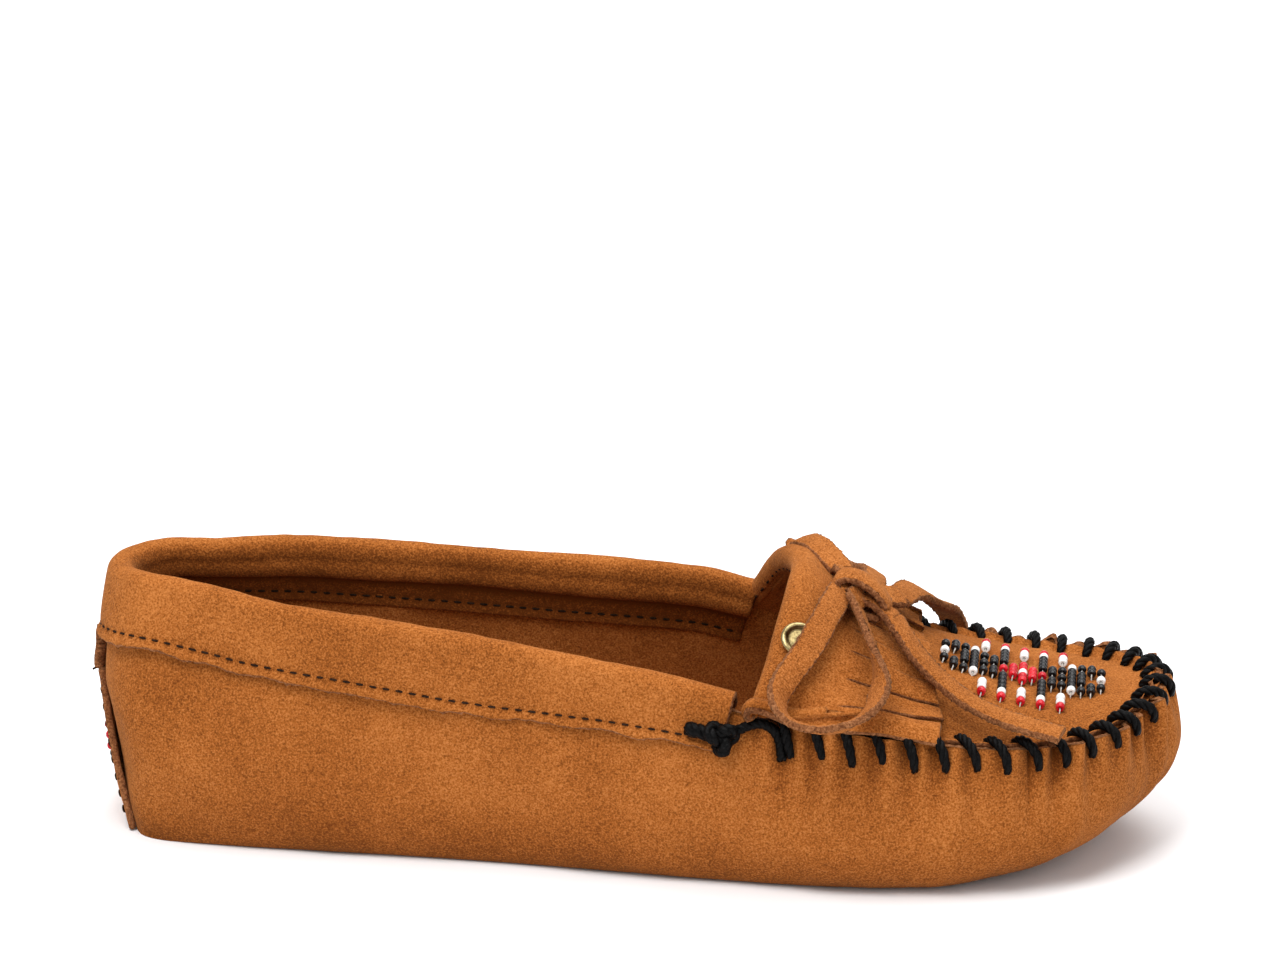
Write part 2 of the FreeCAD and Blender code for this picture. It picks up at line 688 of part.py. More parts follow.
def heel_beads(colour):
    """Small diamond on the heel tab: rows of beads strung level."""
    blank, made = bead_blank(), []
    pitch = BEAD_LONG + 0.35
    for i, count in enumerate((1, 2, 3, 2, 1)):
        z = 11.0 + i * (2 * BEAD_R + 0.1)
        for k in range(count):
            kind = "black" if i < 2 else ("red" if count == 1 or i > 2 else ("red", "white", "red")[k])
            if kind != colour:
                continue
            y = (k - (count - 1) / 2) * pitch
            u = -y * 0.0021
            at = skin(u, s_any(u, z), 0.2 + SUEDE + BEAD_R + 0.12)
            ahead = skin(u + 0.002, s_any(u + 0.002, z), 0.2 + SUEDE + BEAD_R + 0.12)
            behind = skin(u - 0.002, s_any(u - 0.002, z), 0.2 + SUEDE + BEAD_R + 0.12)
            made.append(set_bead(blank, at, (ahead - behind).normalize()))
    return made


def heel_stitches():
    """Thread down both sides of the heel tab and across the back seam."""
    made = []
    for side in (-1, 1):
        for i in range(8):
            z = 5 + i * 3.6
            y = side * (tab_half(z) - 2.2)
            u = 0.0
            while abs(skin(u, s_any(u, z), 2).y) < abs(y):
                u += 0.0008
            u = -u if side > 0 else u
            a, b = (skin(u, s_any(u, z + d), 0.2 + SUEDE) for d in (-0.9, 0.9))
            made.append(Part.makeCylinder(0.28, a.distanceToPoint(b), a, b - a))
    return made


def build():
    os.makedirs("parts", exist_ok=True)
    pad, cover = make_insole()
    cap, washer, hole = make_stud()
    save("bottom_and_sides", make_wrap())
    save("insole_pad", pad)
    save("insole_cover", cover)
    save("topline_cuff", make_cuff())
    save("cuff_stitching", cuff_row(FIT + SUEDE, -CUFF_DROP + 2.2, 3.1, 1.9)
         + cuff_row(-LEATHER - FIT - SUEDE, -CUFF_INSIDE + 2.2, 3.1, 1.9))
    save("lace_in_cuff", make_lace_run())
    save("toe_plug", slab(plug_rows(), SUEDE))
    save("throat_casing", make_casing())
    save("casing_stitching", casing_stitches())
    save("fringed_flap", make_flap().cut(hole))
    save("stud_cap", cap)
    save("stud_washer", washer)
    save("lace_knot", make_knot())
    save("near_bow_loop", strap(NEAR_LOOP, NEAR_LOOP_FACES))
    save("far_bow_loop", strap(FAR_LOOP, FAR_LOOP_FACES))
    save("near_lace_tail", strap(NEAR_TAIL, NEAR_TAIL_FACES))
    save("far_lace_tail", strap(FAR_TAIL, FAR_TAIL_FACES))
    save("toe_lacing", make_lacing())
    save("near_lacing_knot", make_thread_knot(151.0, -1))
    save("far_lacing_knot", make_thread_knot(149.0, 1))
    save("heel_tab", back_sheet(0.2, SUEDE, 1.0, 35.0, tab_half))
    save("back_seam_welt", back_sheet(0.5, 2.4, 35.4, 44.0, lambda z: 3.4))
    save("heel_stitching", heel_stitches())
    for colour in ("black", "red", "white"):
        save(f"toe_beads_{colour}", toe_beads(colour))
        save(f"heel_beads_{colour}", heel_beads(colour))


build()
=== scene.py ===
"""Looks of the soft-sole suede moccasin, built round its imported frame.

Shapes are worked out in the shoe's own millimetres: x from the back of the heel, -y to the outer side, z up from
the floor. to_frame() turns them into metres in the row frame.
"""

import math

import bpy
import numpy as np
from mathutils import Matrix, Vector


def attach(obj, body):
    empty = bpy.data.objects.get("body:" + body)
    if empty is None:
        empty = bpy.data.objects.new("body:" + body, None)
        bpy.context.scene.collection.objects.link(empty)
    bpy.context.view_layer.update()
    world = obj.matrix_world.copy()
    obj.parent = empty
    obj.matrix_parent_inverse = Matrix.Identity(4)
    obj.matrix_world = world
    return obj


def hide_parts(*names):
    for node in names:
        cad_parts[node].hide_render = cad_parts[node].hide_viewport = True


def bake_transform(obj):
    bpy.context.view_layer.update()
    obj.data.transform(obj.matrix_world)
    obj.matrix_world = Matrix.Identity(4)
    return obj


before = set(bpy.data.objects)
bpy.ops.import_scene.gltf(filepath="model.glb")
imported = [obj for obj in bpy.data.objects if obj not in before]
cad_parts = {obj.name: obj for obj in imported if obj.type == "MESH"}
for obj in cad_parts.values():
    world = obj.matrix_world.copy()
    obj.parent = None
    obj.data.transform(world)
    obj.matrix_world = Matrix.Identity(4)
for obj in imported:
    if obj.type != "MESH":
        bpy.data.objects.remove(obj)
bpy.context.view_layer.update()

# ---- dimensions shared with the frame, in millimetres
ORIGIN = np.array((124.4, -1.5, 0.0))
BACK_Y = -0.5
LEATHER, SUEDE, RIDGE = 1.8, 1.6, 2.2
CUFF_ROLL, CUFF_DROP, CUFF_INSIDE, CUFF_ENDS = 3.5, 13.5, 12.4, (149.0, 148.7)
FOLD_ROLL, CASING_LEG = 3.4, 9.5
FLAP_LIFT, FLAP_SIDES, FLAP_FRONT = 1.9, 3.6, 193.0
FLAP_LOW, FLAP_HIGH, FLAP_SPAN, FRINGE_CUTS, FRINGE_LENGTH = -40.7, 36.5, 30.0, 11, 17.5
STUD_AT, KNOT_AT = (164.0, -25.0), (176.0, -4.5)
LACE_WIDTH, LACE_THICK = 6.0, 1.8
BEAD_R, BEAD_LONG = 1.08, 2.0

# Widest outline seen from above, from the heel round by the lateral side.
OUTLINE = [(0, 0), (2.5, -14), (10, -24), (30, -29.5), (70, -32), (110, -36), (145, -41), (175, -44.5),
           (203, -43), (226, -34), (241, -20), (250, 3), (246, 17), (232, 30), (208, 39.5), (175, 41.5),
           (140, 38), (100, 33), (60, 30.5), (28, 28.5), (10, 23), (2.5, 13)]
# (x, value) knots along the shoe.
TOP_LATERAL = [(0, 57.5), (10, 58.5), (24, 57.6), (48, 55), (99, 49.2), (140, 43.5), (150, 41.5), (162, 39.5),
               (190, 36.8), (218, 34.4), (236, 35), (250, 38)]
TOP_MEDIAL = [(0, 57.5), (10, 58), (24, 57), (48, 55.8), (93, 52.4), (136, 48.2), (148, 45.2), (162, 41.6),
              (190, 37.5), (218, 36), (240, 37.5), (250, 38.3)]
TOP_WIDTH = [(0, .55), (10, .60), (20, .62), (45, .78), (95, .86), (147, .87), (180, .88), (225, .9), (250, .92)]
TOP_SHIFT = [(0, 3), (8, 2), (25, 0), (225, 0), (240, -2), (250, -4)]
BULGE_HEIGHT = [(0, 36), (8, 28), (30, 18), (70, 15), (170, 13), (220, 16), (240, 21), (250, 25)]
FLOOR_WIDTH = [(0, .95), (10, .9), (40, .83), (95, .84), (150, .83), (185, .78), (225, .72), (250, .6)]
FLOOR_SHIFT = [(0, 6.5), (3, 5), (10, 2), (25, 0), (150, 0), (175, -3), (210, -15), (235, -33), (250, -50)]
ROUNDNESS = [(0, .1), (8, .3), (30, .9), (60, 1), (250, 1)]
CROWN = [(146, 20.5), (155, 24.5), (162, 24.8), (170, 20.8), (180, 14.8), (195, 9), (215, 5), (250, 2)]

# Routes of the four free lengths of lace, from the knot outwards, and which way the broad side looks.
NEAR_LOOP = [(172, -10.4, 62), (170, -21, 60.8), (166.2, -31.8, 55.4), (159.4, -43, 49), (161.6, -48.4, 44.2),
             (170, -49.5, 42.3), (178.8, -46, 43.5), (183.4, -37.5, 47.6), (179.4, -22, 55.4), (174.8, -11.6, 60.4)]
NEAR_LOOP_FACES = [(.44, -.48, .75), (.44, -.5, .75), (.5, -.5, .7), (.9, -.1, .35), (.4, .6, .7), (-.35, .6, .7),
                   (-.9, .35, -.1), (-.9, .2, -.3)]
FAR_LOOP = [(171.5, 1.8, 62.8), (166.5, 9, 66.2), (161.5, 18, 64.8), (159.5, 27, 59.3), (164, 33.5, 54.2),
            (171, 33.5, 53), (176, 26, 54.2), (178.8, 15, 57.8), (178.8, 2.6, 59.8)]
FAR_LOOP_FACES = [(.4, -.5, .75), (.3, -.7, .65), (.1, -.8, .6), (-.2, -.3, .9), (.3, .6, .7), (.5, .4, .75),
                  (.7, .1, .7)]
NEAR_TAIL = [(184, -9.5, 56), (187.5, -15.5, 52.6), (193, -22.5, 48.2), (202, -28.8, 43), (211.5, -33, 40.2),
             (223.5, -36, 38.6)]
NEAR_TAIL_FACES = [(.5, -.1, .8), (.5, -.2, .8), (.35, -.2, .9), (.2, -.2, 1)]
FAR_TAIL = [(185, 0.5, 57), (186.5, 8.5, 56.5), (189, 17, 53), (191.5, 26, 47.5), (194, 35.5, 43), (196, 43.5, 37),
            (196.5, 46.3, 28.5), (196, 46, 20)]
FAR_TAIL_FACES = [(.5, -.2, .8), (.5, .2, .8), (.3, .6, .6), (.1, 1, .3), (0, 1, 0)]


# ---- small mathematics
def unit(v):
    return v / np.maximum(np.linalg.norm(v, axis=-1, keepdims=True), 1e-9)


def smooth(t):
    t = np.clip(t, 0.0, 1.0)
    return t * t * (3 - 2 * t)


def floats(*arrays):
    """The arrays as floats, all of one shape."""
    return np.broadcast_arrays(*(np.asarray(a, float) for a in arrays))


def point(x, y, z):
    return np.stack(floats(x, y, z), axis=-1)


def curve(knots, x):
    """Smooth monotone curve through (x, value) knots."""
    xs, values = np.array(knots, float).T
    x = np.clip(x, xs[0], xs[-1])
    i = np.clip(np.searchsorted(xs, x, side="right") - 1, 0, len(xs) - 2)
    rise = np.diff(values) / np.diff(xs)
    slope = np.concatenate(([rise[0]], rise[:-1], [rise[-1]]))
    product, total = rise[:-1] * rise[1:], rise[:-1] + rise[1:]
    slope[1:-1] = np.where(product <= 0, 0, 2 * product / np.where(product <= 0, 1, total))
    h = xs[i + 1] - xs[i]
    t = (x - xs[i]) / h
    return (values[i] * (1 + 2 * t) * (1 - t) ** 2 + slope[i] * h * t * (1 - t) ** 2
            + values[i + 1] * t * t * (3 - 2 * t) + slope[i + 1] * h * t * t * (t - 1))


def outline(u):
    """Points of the widest outline; u runs from 0 to 1 round the shoe."""
    ring = np.array(OUTLINE, float)
    n = len(ring)
    steps = np.linalg.norm(np.roll(ring, -1, 0) - ring, axis=1) ** 0.5
    ends = np.cumsum(steps)
    s = (np.asarray(u, float) % 1.0) * ends[-1]
    i = np.clip(np.searchsorted(ends, s, side="right"), 0, n - 1)
    h, before, after = steps[i], steps[i - 1], steps[(i + 1) % n]
    t = ((s - (ends[i] - h)) / h)[..., None]
    h, before, after = h[..., None], before[..., None], after[..., None]
    a, b, c, d = (ring[(i + k) % n] for k in (-1, 0, 1, 2))
    m1 = ((b - a) / before - (c - a) / (before + h) + (c - b) / h) * h
    m2 = ((c - b) / h - (d - b) / (h + after) + (d - c) / after) * h
    found = (b * (2 * t ** 3 - 3 * t ** 2 + 1) + m1 * (t ** 3 - 2 * t ** 2 + t)
             + c * (3 * t ** 2 - 2 * t ** 3) + m2 * (t ** 3 - t ** 2))
    return found[..., 0], found[..., 1]


def lumps(p, size, seed):
    """Smooth noise, about -1 to 1, with swells about size millimetres long."""
    rng = np.random.default_rng(seed)
    total = np.zeros(p.shape[:-1])
    for _ in range(12):
        way = unit(rng.normal(size=3)) * (2 * math.pi / size * rng.uniform(0.6, 1.5))
        total += np.sin(p @ way + rng.uniform(0, 6.28))
    return total / 3.6


def normals(grid, closed=False):
    along = np.roll(grid, -1, 0) - np.roll(grid, 1, 0) if closed else np.gradient(grid, axis=0)
    return unit(np.cross(along, np.gradient(grid, axis=1)))


def run_along(line):
    """Distance from a line's start to each of its points."""
    return np.concatenate(([0], np.cumsum(np.linalg.norm(np.diff(line, axis=0), axis=1))))


def read_at(at, run, line):
    """Points of a line at the distances given."""
    return np.stack([np.interp(at, run, line[:, k]) for k in range(line.shape[1])], axis=1)


def spread(points, count):
    """count points spaced evenly along a line of points."""
    points = np.asarray(points, float)
    run = run_along(points)
    return read_at(np.linspace(0, run[-1], count), run, points)


def halve(low, high, short, steps):
    """Narrows low and high in on the place where short(place) stops being true."""
    for _ in range(steps):
        mid = (low + high) / 2
        under = short(mid)
        low, high = np.where(under, mid, low), np.where(under, high, mid)
    return low, high


def rounded(points, count):
    """Smooth line that passes close to the corners given."""
    line = np.asarray(points, float)
    for _ in range(4):
        q = line[:-1] * 0.75 + line[1:] * 0.25
        r = line[:-1] * 0.25 + line[1:] * 0.75
        line = np.concatenate([line[:1], np.stack([q, r], 1).reshape(-1, line.shape[1]), line[-1:]])
    return spread(line, count)


# ---- the shoe's own surfaces
def wall(u, s):
    """Outer surface of the wrap: s is 0 at the edge of the flat sole, 1 at the widest line, 2 at the top edge."""
    u, s = floats(u, s)
    x, y = outline(u)
    bulge = curve(BULGE_HEIGHT, x)
    r = curve(ROUNDNESS, x)
    low = np.clip(s, 0, 1)
    across = r * np.sin(low * math.pi / 2) + (1 - r) * low
    up = r * (1 - np.cos(low * math.pi / 2)) + (1 - r) * low
    floor_x, floor_y = x + curve(FLOOR_SHIFT, x), y * curve(FLOOR_WIDTH, x)
    side = smooth((y + 12) / 24)
    top = curve(TOP_LATERAL, x) * (1 - side) + curve(TOP_MEDIAL, x) * side
    high = np.clip(s - 1, 0, 1)
    f = high ** 1.6
    lower = point(floor_x + (x - floor_x) * across, floor_y + (y - floor_y) * across, bulge * up)
    upper = point(x + curve(TOP_SHIFT, x) * f, y + y * (curve(TOP_WIDTH, x) - 1) * f, bulge + (top - bulge) * high)
    return np.where((s <= 1)[..., None], lower, upper)


def skin(u, s, a):
    """The wall's surface moved a millimetres outwards."""
    u, s = floats(u, s)
    p = wall(u, s)
    along = wall(u + 0.002, s) - wall(u - 0.002, s)
    up = wall(u, np.minimum(s + 0.02, 2)) - wall(u, np.maximum(s - 0.02, 0))
    a = np.asarray(a, float)[..., None]
    flat = unit(point(along[..., 1], -along[..., 0], 0))
    boxy = (1 - curve(ROUNDNESS, outline(u)[0]))[..., None]
    at_sole = p + flat * a * boxy - np.array((0, 0, 1.0)) * a
    return np.where((s <= 0)[..., None], at_sole, p + unit(np.cross(along, up)) * a)


_fine = np.arange(2000) / 2000
TIP_U = _fine[np.argmax(wall(_fine, 2)[..., 0])]


def u_at(x, side):
    """Where round the outline the top edge reaches x, on the outer side (-1) or the inner side (1)."""
    x = np.asarray(x, float)
    first, last = (0.0, TIP_U) if side < 0 else (TIP_U, 1.0)
    low, high = halve(np.full(x.shape, first), np.full(x.shape, last),
                      lambda u: (wall(u, 2)[..., 0] < x) == (side < 0), 40)
    return (low + high) / 2


SEAM_X = np.arange(140.0, 246.0)
SEAM_NEAR, SEAM_FAR = (wall(u_at(SEAM_X, side), 2) for side in (-1, 1))


def seam_at(side_points, x):
    """y and z of one side's toe seam at x."""
    x = np.clip(x, 140, 244.99)
    return [np.interp(x, SEAM_X, side_points[:, k]) for k in (1, 2)]


def plug_z(x, y):
    """Height of the toe plug's upper surface."""
    (ay, az), (by, bz) = seam_at(SEAM_NEAR, x), seam_at(SEAM_FAR, x)
    w = np.clip((y - ay) / np.maximum(by - ay, 0.001), 0, 1)
    v = np.abs(2 * w - 1)
    return az + (bz - az) * w + curve(CROWN, x) * (1 - v ** (2 + 0.7 * w)) - RIDGE


def plug_normal(x, y):
    d = 0.4
    along = point(2 * d + 0 * x, 0, plug_z(x + d, y) - plug_z(x - d, y))
    across = point(0 * x, 2 * d, plug_z(x, y + d) - plug_z(x, y - d))
    return unit(np.cross(along, across))


def over_plug(x, y, lift):
    x, y, lift = floats(x, y, lift)
    return point(x, y, plug_z(x, y)) + plug_normal(x, y) * lift[..., None]


def fold_x(y):
    """Rearmost line of the rolled fold across the instep."""
    y = np.asarray(y, float)
    return 160 - np.where(y < 0, 7 * (y / 37) ** 2, 14 * (np.maximum(y, 0) / 35) ** 1.5)


def s_at(u, z):
    """s where the wall reaches height z."""
    return halve(np.full(np.shape(u), 0.001), np.full(np.shape(u), 2.0), lambda s: wall(u, s)[..., 2] < z, 22)[0]


# ---- meshes
def to_frame(points):
    return (np.asarray(points, float) - ORIGIN) * 0.001


def put(name, data):
    """New object in the scene."""
    obj = bpy.data.objects.new(name, data)
    bpy.context.scene.collection.objects.link(obj)
    return obj


def evaluated(obj):
    """New mesh of an object with its curve or modifiers worked out."""
    return bpy.data.meshes.new_from_object(obj.evaluated_get(bpy.context.evaluated_depsgraph_get()))


class Build:
    """Vertices and faces of one piece, gathered part by part."""

    def __init__(self):
        self.points, self.faces, self.kinds, self.shades, self.count = [], [], [], [], 0

    def add(self, points, faces, kind=0, shade=0.0):
        """points is (n, 3); faces holds indices into them."""
        points = np.asarray(points, float).reshape(-1, 3)
        self.points.append(points)
        self.shades.append(np.broadcast_to(np.asarray(shade, float).ravel(), (len(points),)))
        self.kinds.append(np.broadcast_to(np.asarray(kind), (len(faces),)))
        self.faces += [tuple(i + self.count for i in f) for f in faces]
        self.count += len(points)

    def finish(self, name, materials, body, slot, replaces=()):
        mesh = bpy.data.meshes.new(name)
        mesh.from_pydata(to_frame(np.concatenate(self.points)).tolist(), [], self.faces)
        mesh.polygons.foreach_set("use_smooth", [True] * len(mesh.polygons))
        for m in materials:
            mesh.materials.append(m)
        mesh.polygons.foreach_set("material_index", np.concatenate(self.kinds).astype(np.int32))
        # painted shade per point, read by the suede material's colour
        shade = mesh.attributes.new("shade", "FLOAT", "POINT")
        shade.data.foreach_set("value", np.concatenate(self.shades).astype(np.float32))
        mesh.validate()
        obj = put(name, mesh)
        if body:
            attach(obj, body)
        if replaces:
            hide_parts(*replaces)
        return obj


def quads(n, m, closed=False, flip=False, start=0):
    """Faces of an n by m grid of points; closed joins the last row to the first."""
    i, j = np.meshgrid(np.arange(n if closed else n - 1), np.arange(m - 1), indexing="ij")
    ahead = (i + 1) % n
    around = [i * m + j, ahead * m + j, ahead * m + j + 1, i * m + j + 1]
    found = np.stack(around[::-1] if flip else around, -1).reshape(-1, 4) + start
    return found.tolist()


def sheet(build, outer, thick, rng, closed=False, inner=None, fray=0.12, shade=0.0, joined=((), 0)):
    """Leather sheet: outer face, inner face thick below it, and a rounded rough rim along its cut edge.

    thick is one value or a value for each point of the grid. Its outer side is along rows x along columns.
    A closed sheet is a band whose rows meet, cut only at its last column. joined is (columns, rows): those edge
    columns are one with the next sheet over their first rows, and have no rim there."""
    n, m = outer.shape[:2]
    face_normals = normals(outer, closed)
    thick = np.broadcast_to(np.asarray(thick, float), (n, m))
    inner = outer - face_normals * thick[..., None] if inner is None else inner
    both = np.concatenate([outer.reshape(-1, 3), inner.reshape(-1, 3)])
    faces = quads(n, m, closed) + quads(n, m, closed, flip=True, start=n * m)
    kinds = [0] * len(faces)
    if closed:
        loop = [(i, m - 1) for i in range(n)]
    else:
        loop = ([(0, j) for j in range(m - 1)] + [(i, m - 1) for i in range(n - 1)]
                + [(n - 1, j) for j in range(m - 1, 0, -1)] + [(i, 0) for i in range(n - 1, 0, -1)])
    i, j = np.array(loop).T
    inward_j = j + (j == 0) - (j == m - 1)
    inward_i = i if closed else i + (i == 0) - (i == n - 1)
    out = unit(outer[i, j] - outer[inward_i, inward_j])
    middle = (outer[i, j] + inner[i, j]) / 2 + out * (thick[i, j] * 0.22)[:, None]
    middle += rng.normal(size=middle.shape) * fray
    top, under = i * m + j, i * m + j + n * m
    mid = 2 * n * m + np.arange(len(loop))
    turn = np.roll(np.arange(len(loop)), -1)
    grown = np.isin(j, joined[0]) & (i < joined[1])
    open_edge = ~(grown & grown[turn] & (j == j[turn]))
    for a, b in ((top, mid), (mid, under)):
        strip = np.stack([a, a[turn], b[turn], b], -1)[open_edge, ::-1 if closed else 1]
        faces += strip.tolist()
        kinds += [1] * len(strip)
    shade = np.broadcast_to(np.asarray(shade, float), (n, m)).ravel()
    build.add(np.concatenate([both, middle]), faces, kinds, np.concatenate([shade, shade, np.zeros(len(loop))]))


def sleeve(n, m, flip=False):
    """Faces of a bar of n rings with m points each: the bands between the rings, then a cap at either end."""
    a = np.arange((n - 1) * m)
    b = np.where((a + 1) % m, a + 1, a + 1 - m)
    around = (a, a + m, b + m, b) if flip else (a, b, b + m, a + m)
    first, last = list(range(m)), list(range((n - 1) * m, n * m))
    return np.stack(around, -1).tolist() + ([first, last[::-1]] if flip else [first[::-1], last])


def tube(build, path, radius, sides):
    """Round bar along a path; radius may differ from point to point."""
    path = np.asarray(path, float)
    n = len(path)
    tangent = unit(np.gradient(path, axis=0))
    side = np.zeros_like(path)
    side[0] = unit(np.cross(tangent[0], (0.13, 0.21, 0.97)))
    for i in range(1, n):
        side[i] = unit(side[i - 1] - tangent[i] * (side[i - 1] @ tangent[i]))
    other = np.cross(tangent, side)
    turn = np.arange(sides) * 2 * math.pi / sides
    radius = np.broadcast_to(radius, (n,))[:, None, None]
    ring = (side[:, None] * np.cos(turn)[None, :, None] + other[:, None] * np.sin(turn)[None, :, None]) * radius
    build.add(path[:, None] + ring, sleeve(n, sides))


def rope(build, path, radius, pitch, count=None, taper=0.0):
    """Twisted cord: three strands wound round a path, thinner towards both ends where it is drawn into the leather."""
    path = spread(path, count or max(6, int(run_along(path)[-1] / 0.45)))
    tangent = unit(np.gradient(path, axis=0))
    side = unit(np.cross(tangent, (0.13, 0.21, 0.97)))
    other = np.cross(tangent, side)
    run = run_along(path)
    body = radius * (1 - taper * np.abs(np.linspace(-1, 1, len(path))) ** 3)
    for k in range(3):
        angle = (run / pitch + k / 3) * 2 * math.pi
        centre = path + (side * np.cos(angle)[:, None] + other * np.sin(angle)[:, None]) * (body * 0.42)[:, None]
        tube(build, centre, body * 0.62, 8)


def stitch(build, centre, along, up, length, radius):
    """Thread stitch that comes out of the leather, lies on it and goes back in."""
    t = np.linspace(-1, 1, 7)[:, None]
    path = centre + along * (t * length / 2) + up * (0.16 - 0.5 * t ** 4)
    tube(build, path, radius * np.sqrt(np.clip(1.06 - t[:, 0] ** 4, 0.1, 1)), 6)


# ---- materials
class Look:
    """Node material with a few shorthands."""

    def __init__(self, name, **sockets):
        self.material = bpy.data.materials.new(name)
        self.material.use_nodes = True
        self.nodes, self.links = self.material.node_tree.nodes, self.material.node_tree.links
        self.shader = self.nodes["Principled BSDF"]
        for socket, value in sockets.items():
            self.shader.inputs[socket.replace("_", " ")].default_value = value
        self.coords = self.node("TexCoord")["Object"]

    def feed(self, socket, value):
        """Gives an input a value, or joins another node's output to it."""
        if isinstance(value, bpy.types.NodeSocket):
            self.links.new(value, socket)
        else:
            socket.default_value = value

    def node(self, kind, **inputs):
        """Outputs of a new node that has these inputs."""
        n = self.nodes.new("ShaderNode" + kind)
        for name, value in inputs.items():
            self.feed(n.inputs[name], value)
        return n.outputs

    def noise(self, size, detail, rough):
        """Noise whose grains are about size millimetres across."""
        return self.node("TexNoise", Scale=1000.0 / size, Detail=detail, Roughness=rough, Vector=self.coords)["Fac"]

    def math(self, kind, a, b):
        n = self.nodes.new("ShaderNodeMath")
        n.operation = kind
        for socket, value in zip(n.inputs, (a, b)):
            self.feed(socket, value)
        return n.outputs[0]

    def blend(self, *parts):
        """Weighted sum of (signal, weight) pairs."""
        total = None
        for signal, weight in parts:
            term = self.math("MULTIPLY", signal, weight)
            total = term if total is None else self.math("ADD", total, term)
        return total

    def colour(self, signal, *stops):
        """Colour ramp of (position, (r, g, b)) stops, into the base colour."""
        n = self.nodes.new("ShaderNodeValToRGB")
        ramp = n.color_ramp.elements
        for k, (at, rgb) in enumerate(stops):
            e = ramp[k] if k < 2 else ramp.new(at)
            e.position, e.color = at, (*rgb, 1)
        self.links.new(signal, n.inputs["Fac"])
        self.links.new(n.outputs["Color"], self.shader.inputs["Base Color"])

    def bump(self, signal, strength, distance):
        """Adds relief, distance millimetres deep at most, and returns the finished material."""
        relief = self.node("Bump", Strength=strength, Distance=distance * 0.001, Height=signal)
        self.links.new(relief["Normal"], self.shader.inputs["Normal"])
        return self.material


def suede(name, dark, mid, light, contrast, grain, relief):
    """Napped split leather: mottled by brushing, speckled by its fibres, and darkened by the painted shade in each
    piece's shade attribute.
    """
    look = Look(name, Roughness=0.95, Sheen_Weight=0.10, Sheen_Roughness=0.5, Sheen_Tint=(1.0, 0.62, 0.30, 1),
                Specular_IOR_Level=0.05)
    fibres, nap, brushed = look.noise(grain, 2, 0.7), look.noise(2.0, 3, 0.5), look.noise(26, 3, 0.5)
    # painted shade, set per point on each piece, darkens the colour
    shade = look.nodes.new("ShaderNodeAttribute")
    shade.attribute_name = "shade"
    signal = look.blend((fibres, 0.8 * contrast), (nap, 0.10 * contrast), (brushed, 0.28 * contrast),
                        (shade.outputs["Fac"], 0.5))
    centre = 0.59 * contrast
    look.colour(signal, (centre - 0.2, dark), (centre + 0.2, light), (centre, mid))
    return look.bump(look.blend((fibres, 0.7), (nap, 0.6)), relief, 0.5)


TAN = suede("suede_tan", (0.145, 0.039, 0.0065), (0.32, 0.096, 0.0175), (0.49, 0.175, 0.044), 1.25, 0.45, 0.8)
RAW = suede("suede_cut_edge", (0.085, 0.027, 0.010), (0.20, 0.072, 0.027), (0.36, 0.15, 0.06), 1.2, 0.6, 1.0)
LACE = suede("suede_lace", (0.145, 0.040, 0.0075), (0.32, 0.098, 0.0195), (0.50, 0.18, 0.048), 1.3, 0.42, 0.7)
SOCK = suede("brushed_sock", (0.14, 0.05, 0.014), (0.27, 0.105, 0.034), (0.42, 0.18, 0.065), 1.0, 0.5, 0.4)


def thread(name, dark, light, rough, sheen):
    look = Look(name, Roughness=rough, Sheen_Weight=sheen, Specular_IOR_Level=0.06)
    ply = look.noise(0.5, 3, 0.6)
    look.colour(ply, (0.35, dark), (0.68, light))
    return look.bump(ply, 0.6, 0.18)


WAXED = thread("waxed_thread", (0.001, 0.001, 0.001), (0.006, 0.0055, 0.0055), 0.42, 0.0)
SEWING = thread("sewing_thread", (0.010, 0.005, 0.003), (0.04, 0.02, 0.011), 0.8, 0.0)
WHITE_THREAD = thread("bead_thread", (0.5, 0.47, 0.42), (0.8, 0.78, 0.74), 0.7, 0.2)


def glass_bead(name, dark, light):
    look = Look(name, Roughness=0.12, Coat_Weight=0.08, Coat_Roughness=0.05, Specular_IOR_Level=0.26)
    look.colour(look.noise(2.3, 1, 0.5), (0.3, dark), (0.7, light))
    return look.bump(look.noise(1.4, 2, 0.5), 0.12, 0.12)


BEADS = {"black": glass_bead("bead_black", (0.003, 0.003, 0.0035), (0.009, 0.008, 0.009)),
         "red": glass_bead("bead_red", (0.42, 0.004, 0.012), (0.62, 0.012, 0.022)),
         "white": glass_bead("bead_white", (0.74, 0.73, 0.70), (0.88, 0.87, 0.85))}


def brass_look():
    look = Look("aged_brass", Metallic=1.0, Roughness=0.34)
    patina = look.blend((look.noise(2.4, 5, 0.65), 0.7), (look.noise(0.5, 3, 0.6), 0.3))
    look.colour(patina, (0.36, (0.12, 0.085, 0.035)), (0.62, (0.52, 0.41, 0.20)), (0.5, (0.34, 0.26, 0.115)))
    return look.bump(look.noise(0.7, 4, 0.6), 0.25, 0.15)


BRASS = brass_look()
LEATHERS = (TAN, RAW)


# ---- the wrap: sole and sides in one piece
def lacing_stations(count=33):
    first, last = u_at(154.0, -1), u_at(153.0, 1)
    fine = np.linspace(first, last, 1501)
    run = run_along(wall(fine, 2))
    return np.interp(np.linspace(0, run[-1], count), run, fine)


STITCH_U = lacing_stations()


def gather(u):
    """(how far between two stitches a point lies, strength of that gather) round the toe seam."""
    phase = np.interp(u, STITCH_U, np.arange(len(STITCH_U)))
    inside = smooth((u - STITCH_U[0] + 0.004) / 0.012) * smooth((STITCH_U[-1] + 0.004 - u) / 0.012)
    strength = np.random.default_rng(5).uniform(0.6, 1.35, len(STITCH_U) + 1)
    return phase, inside * strength[np.clip(phase.astype(int), 0, len(STITCH_U))]


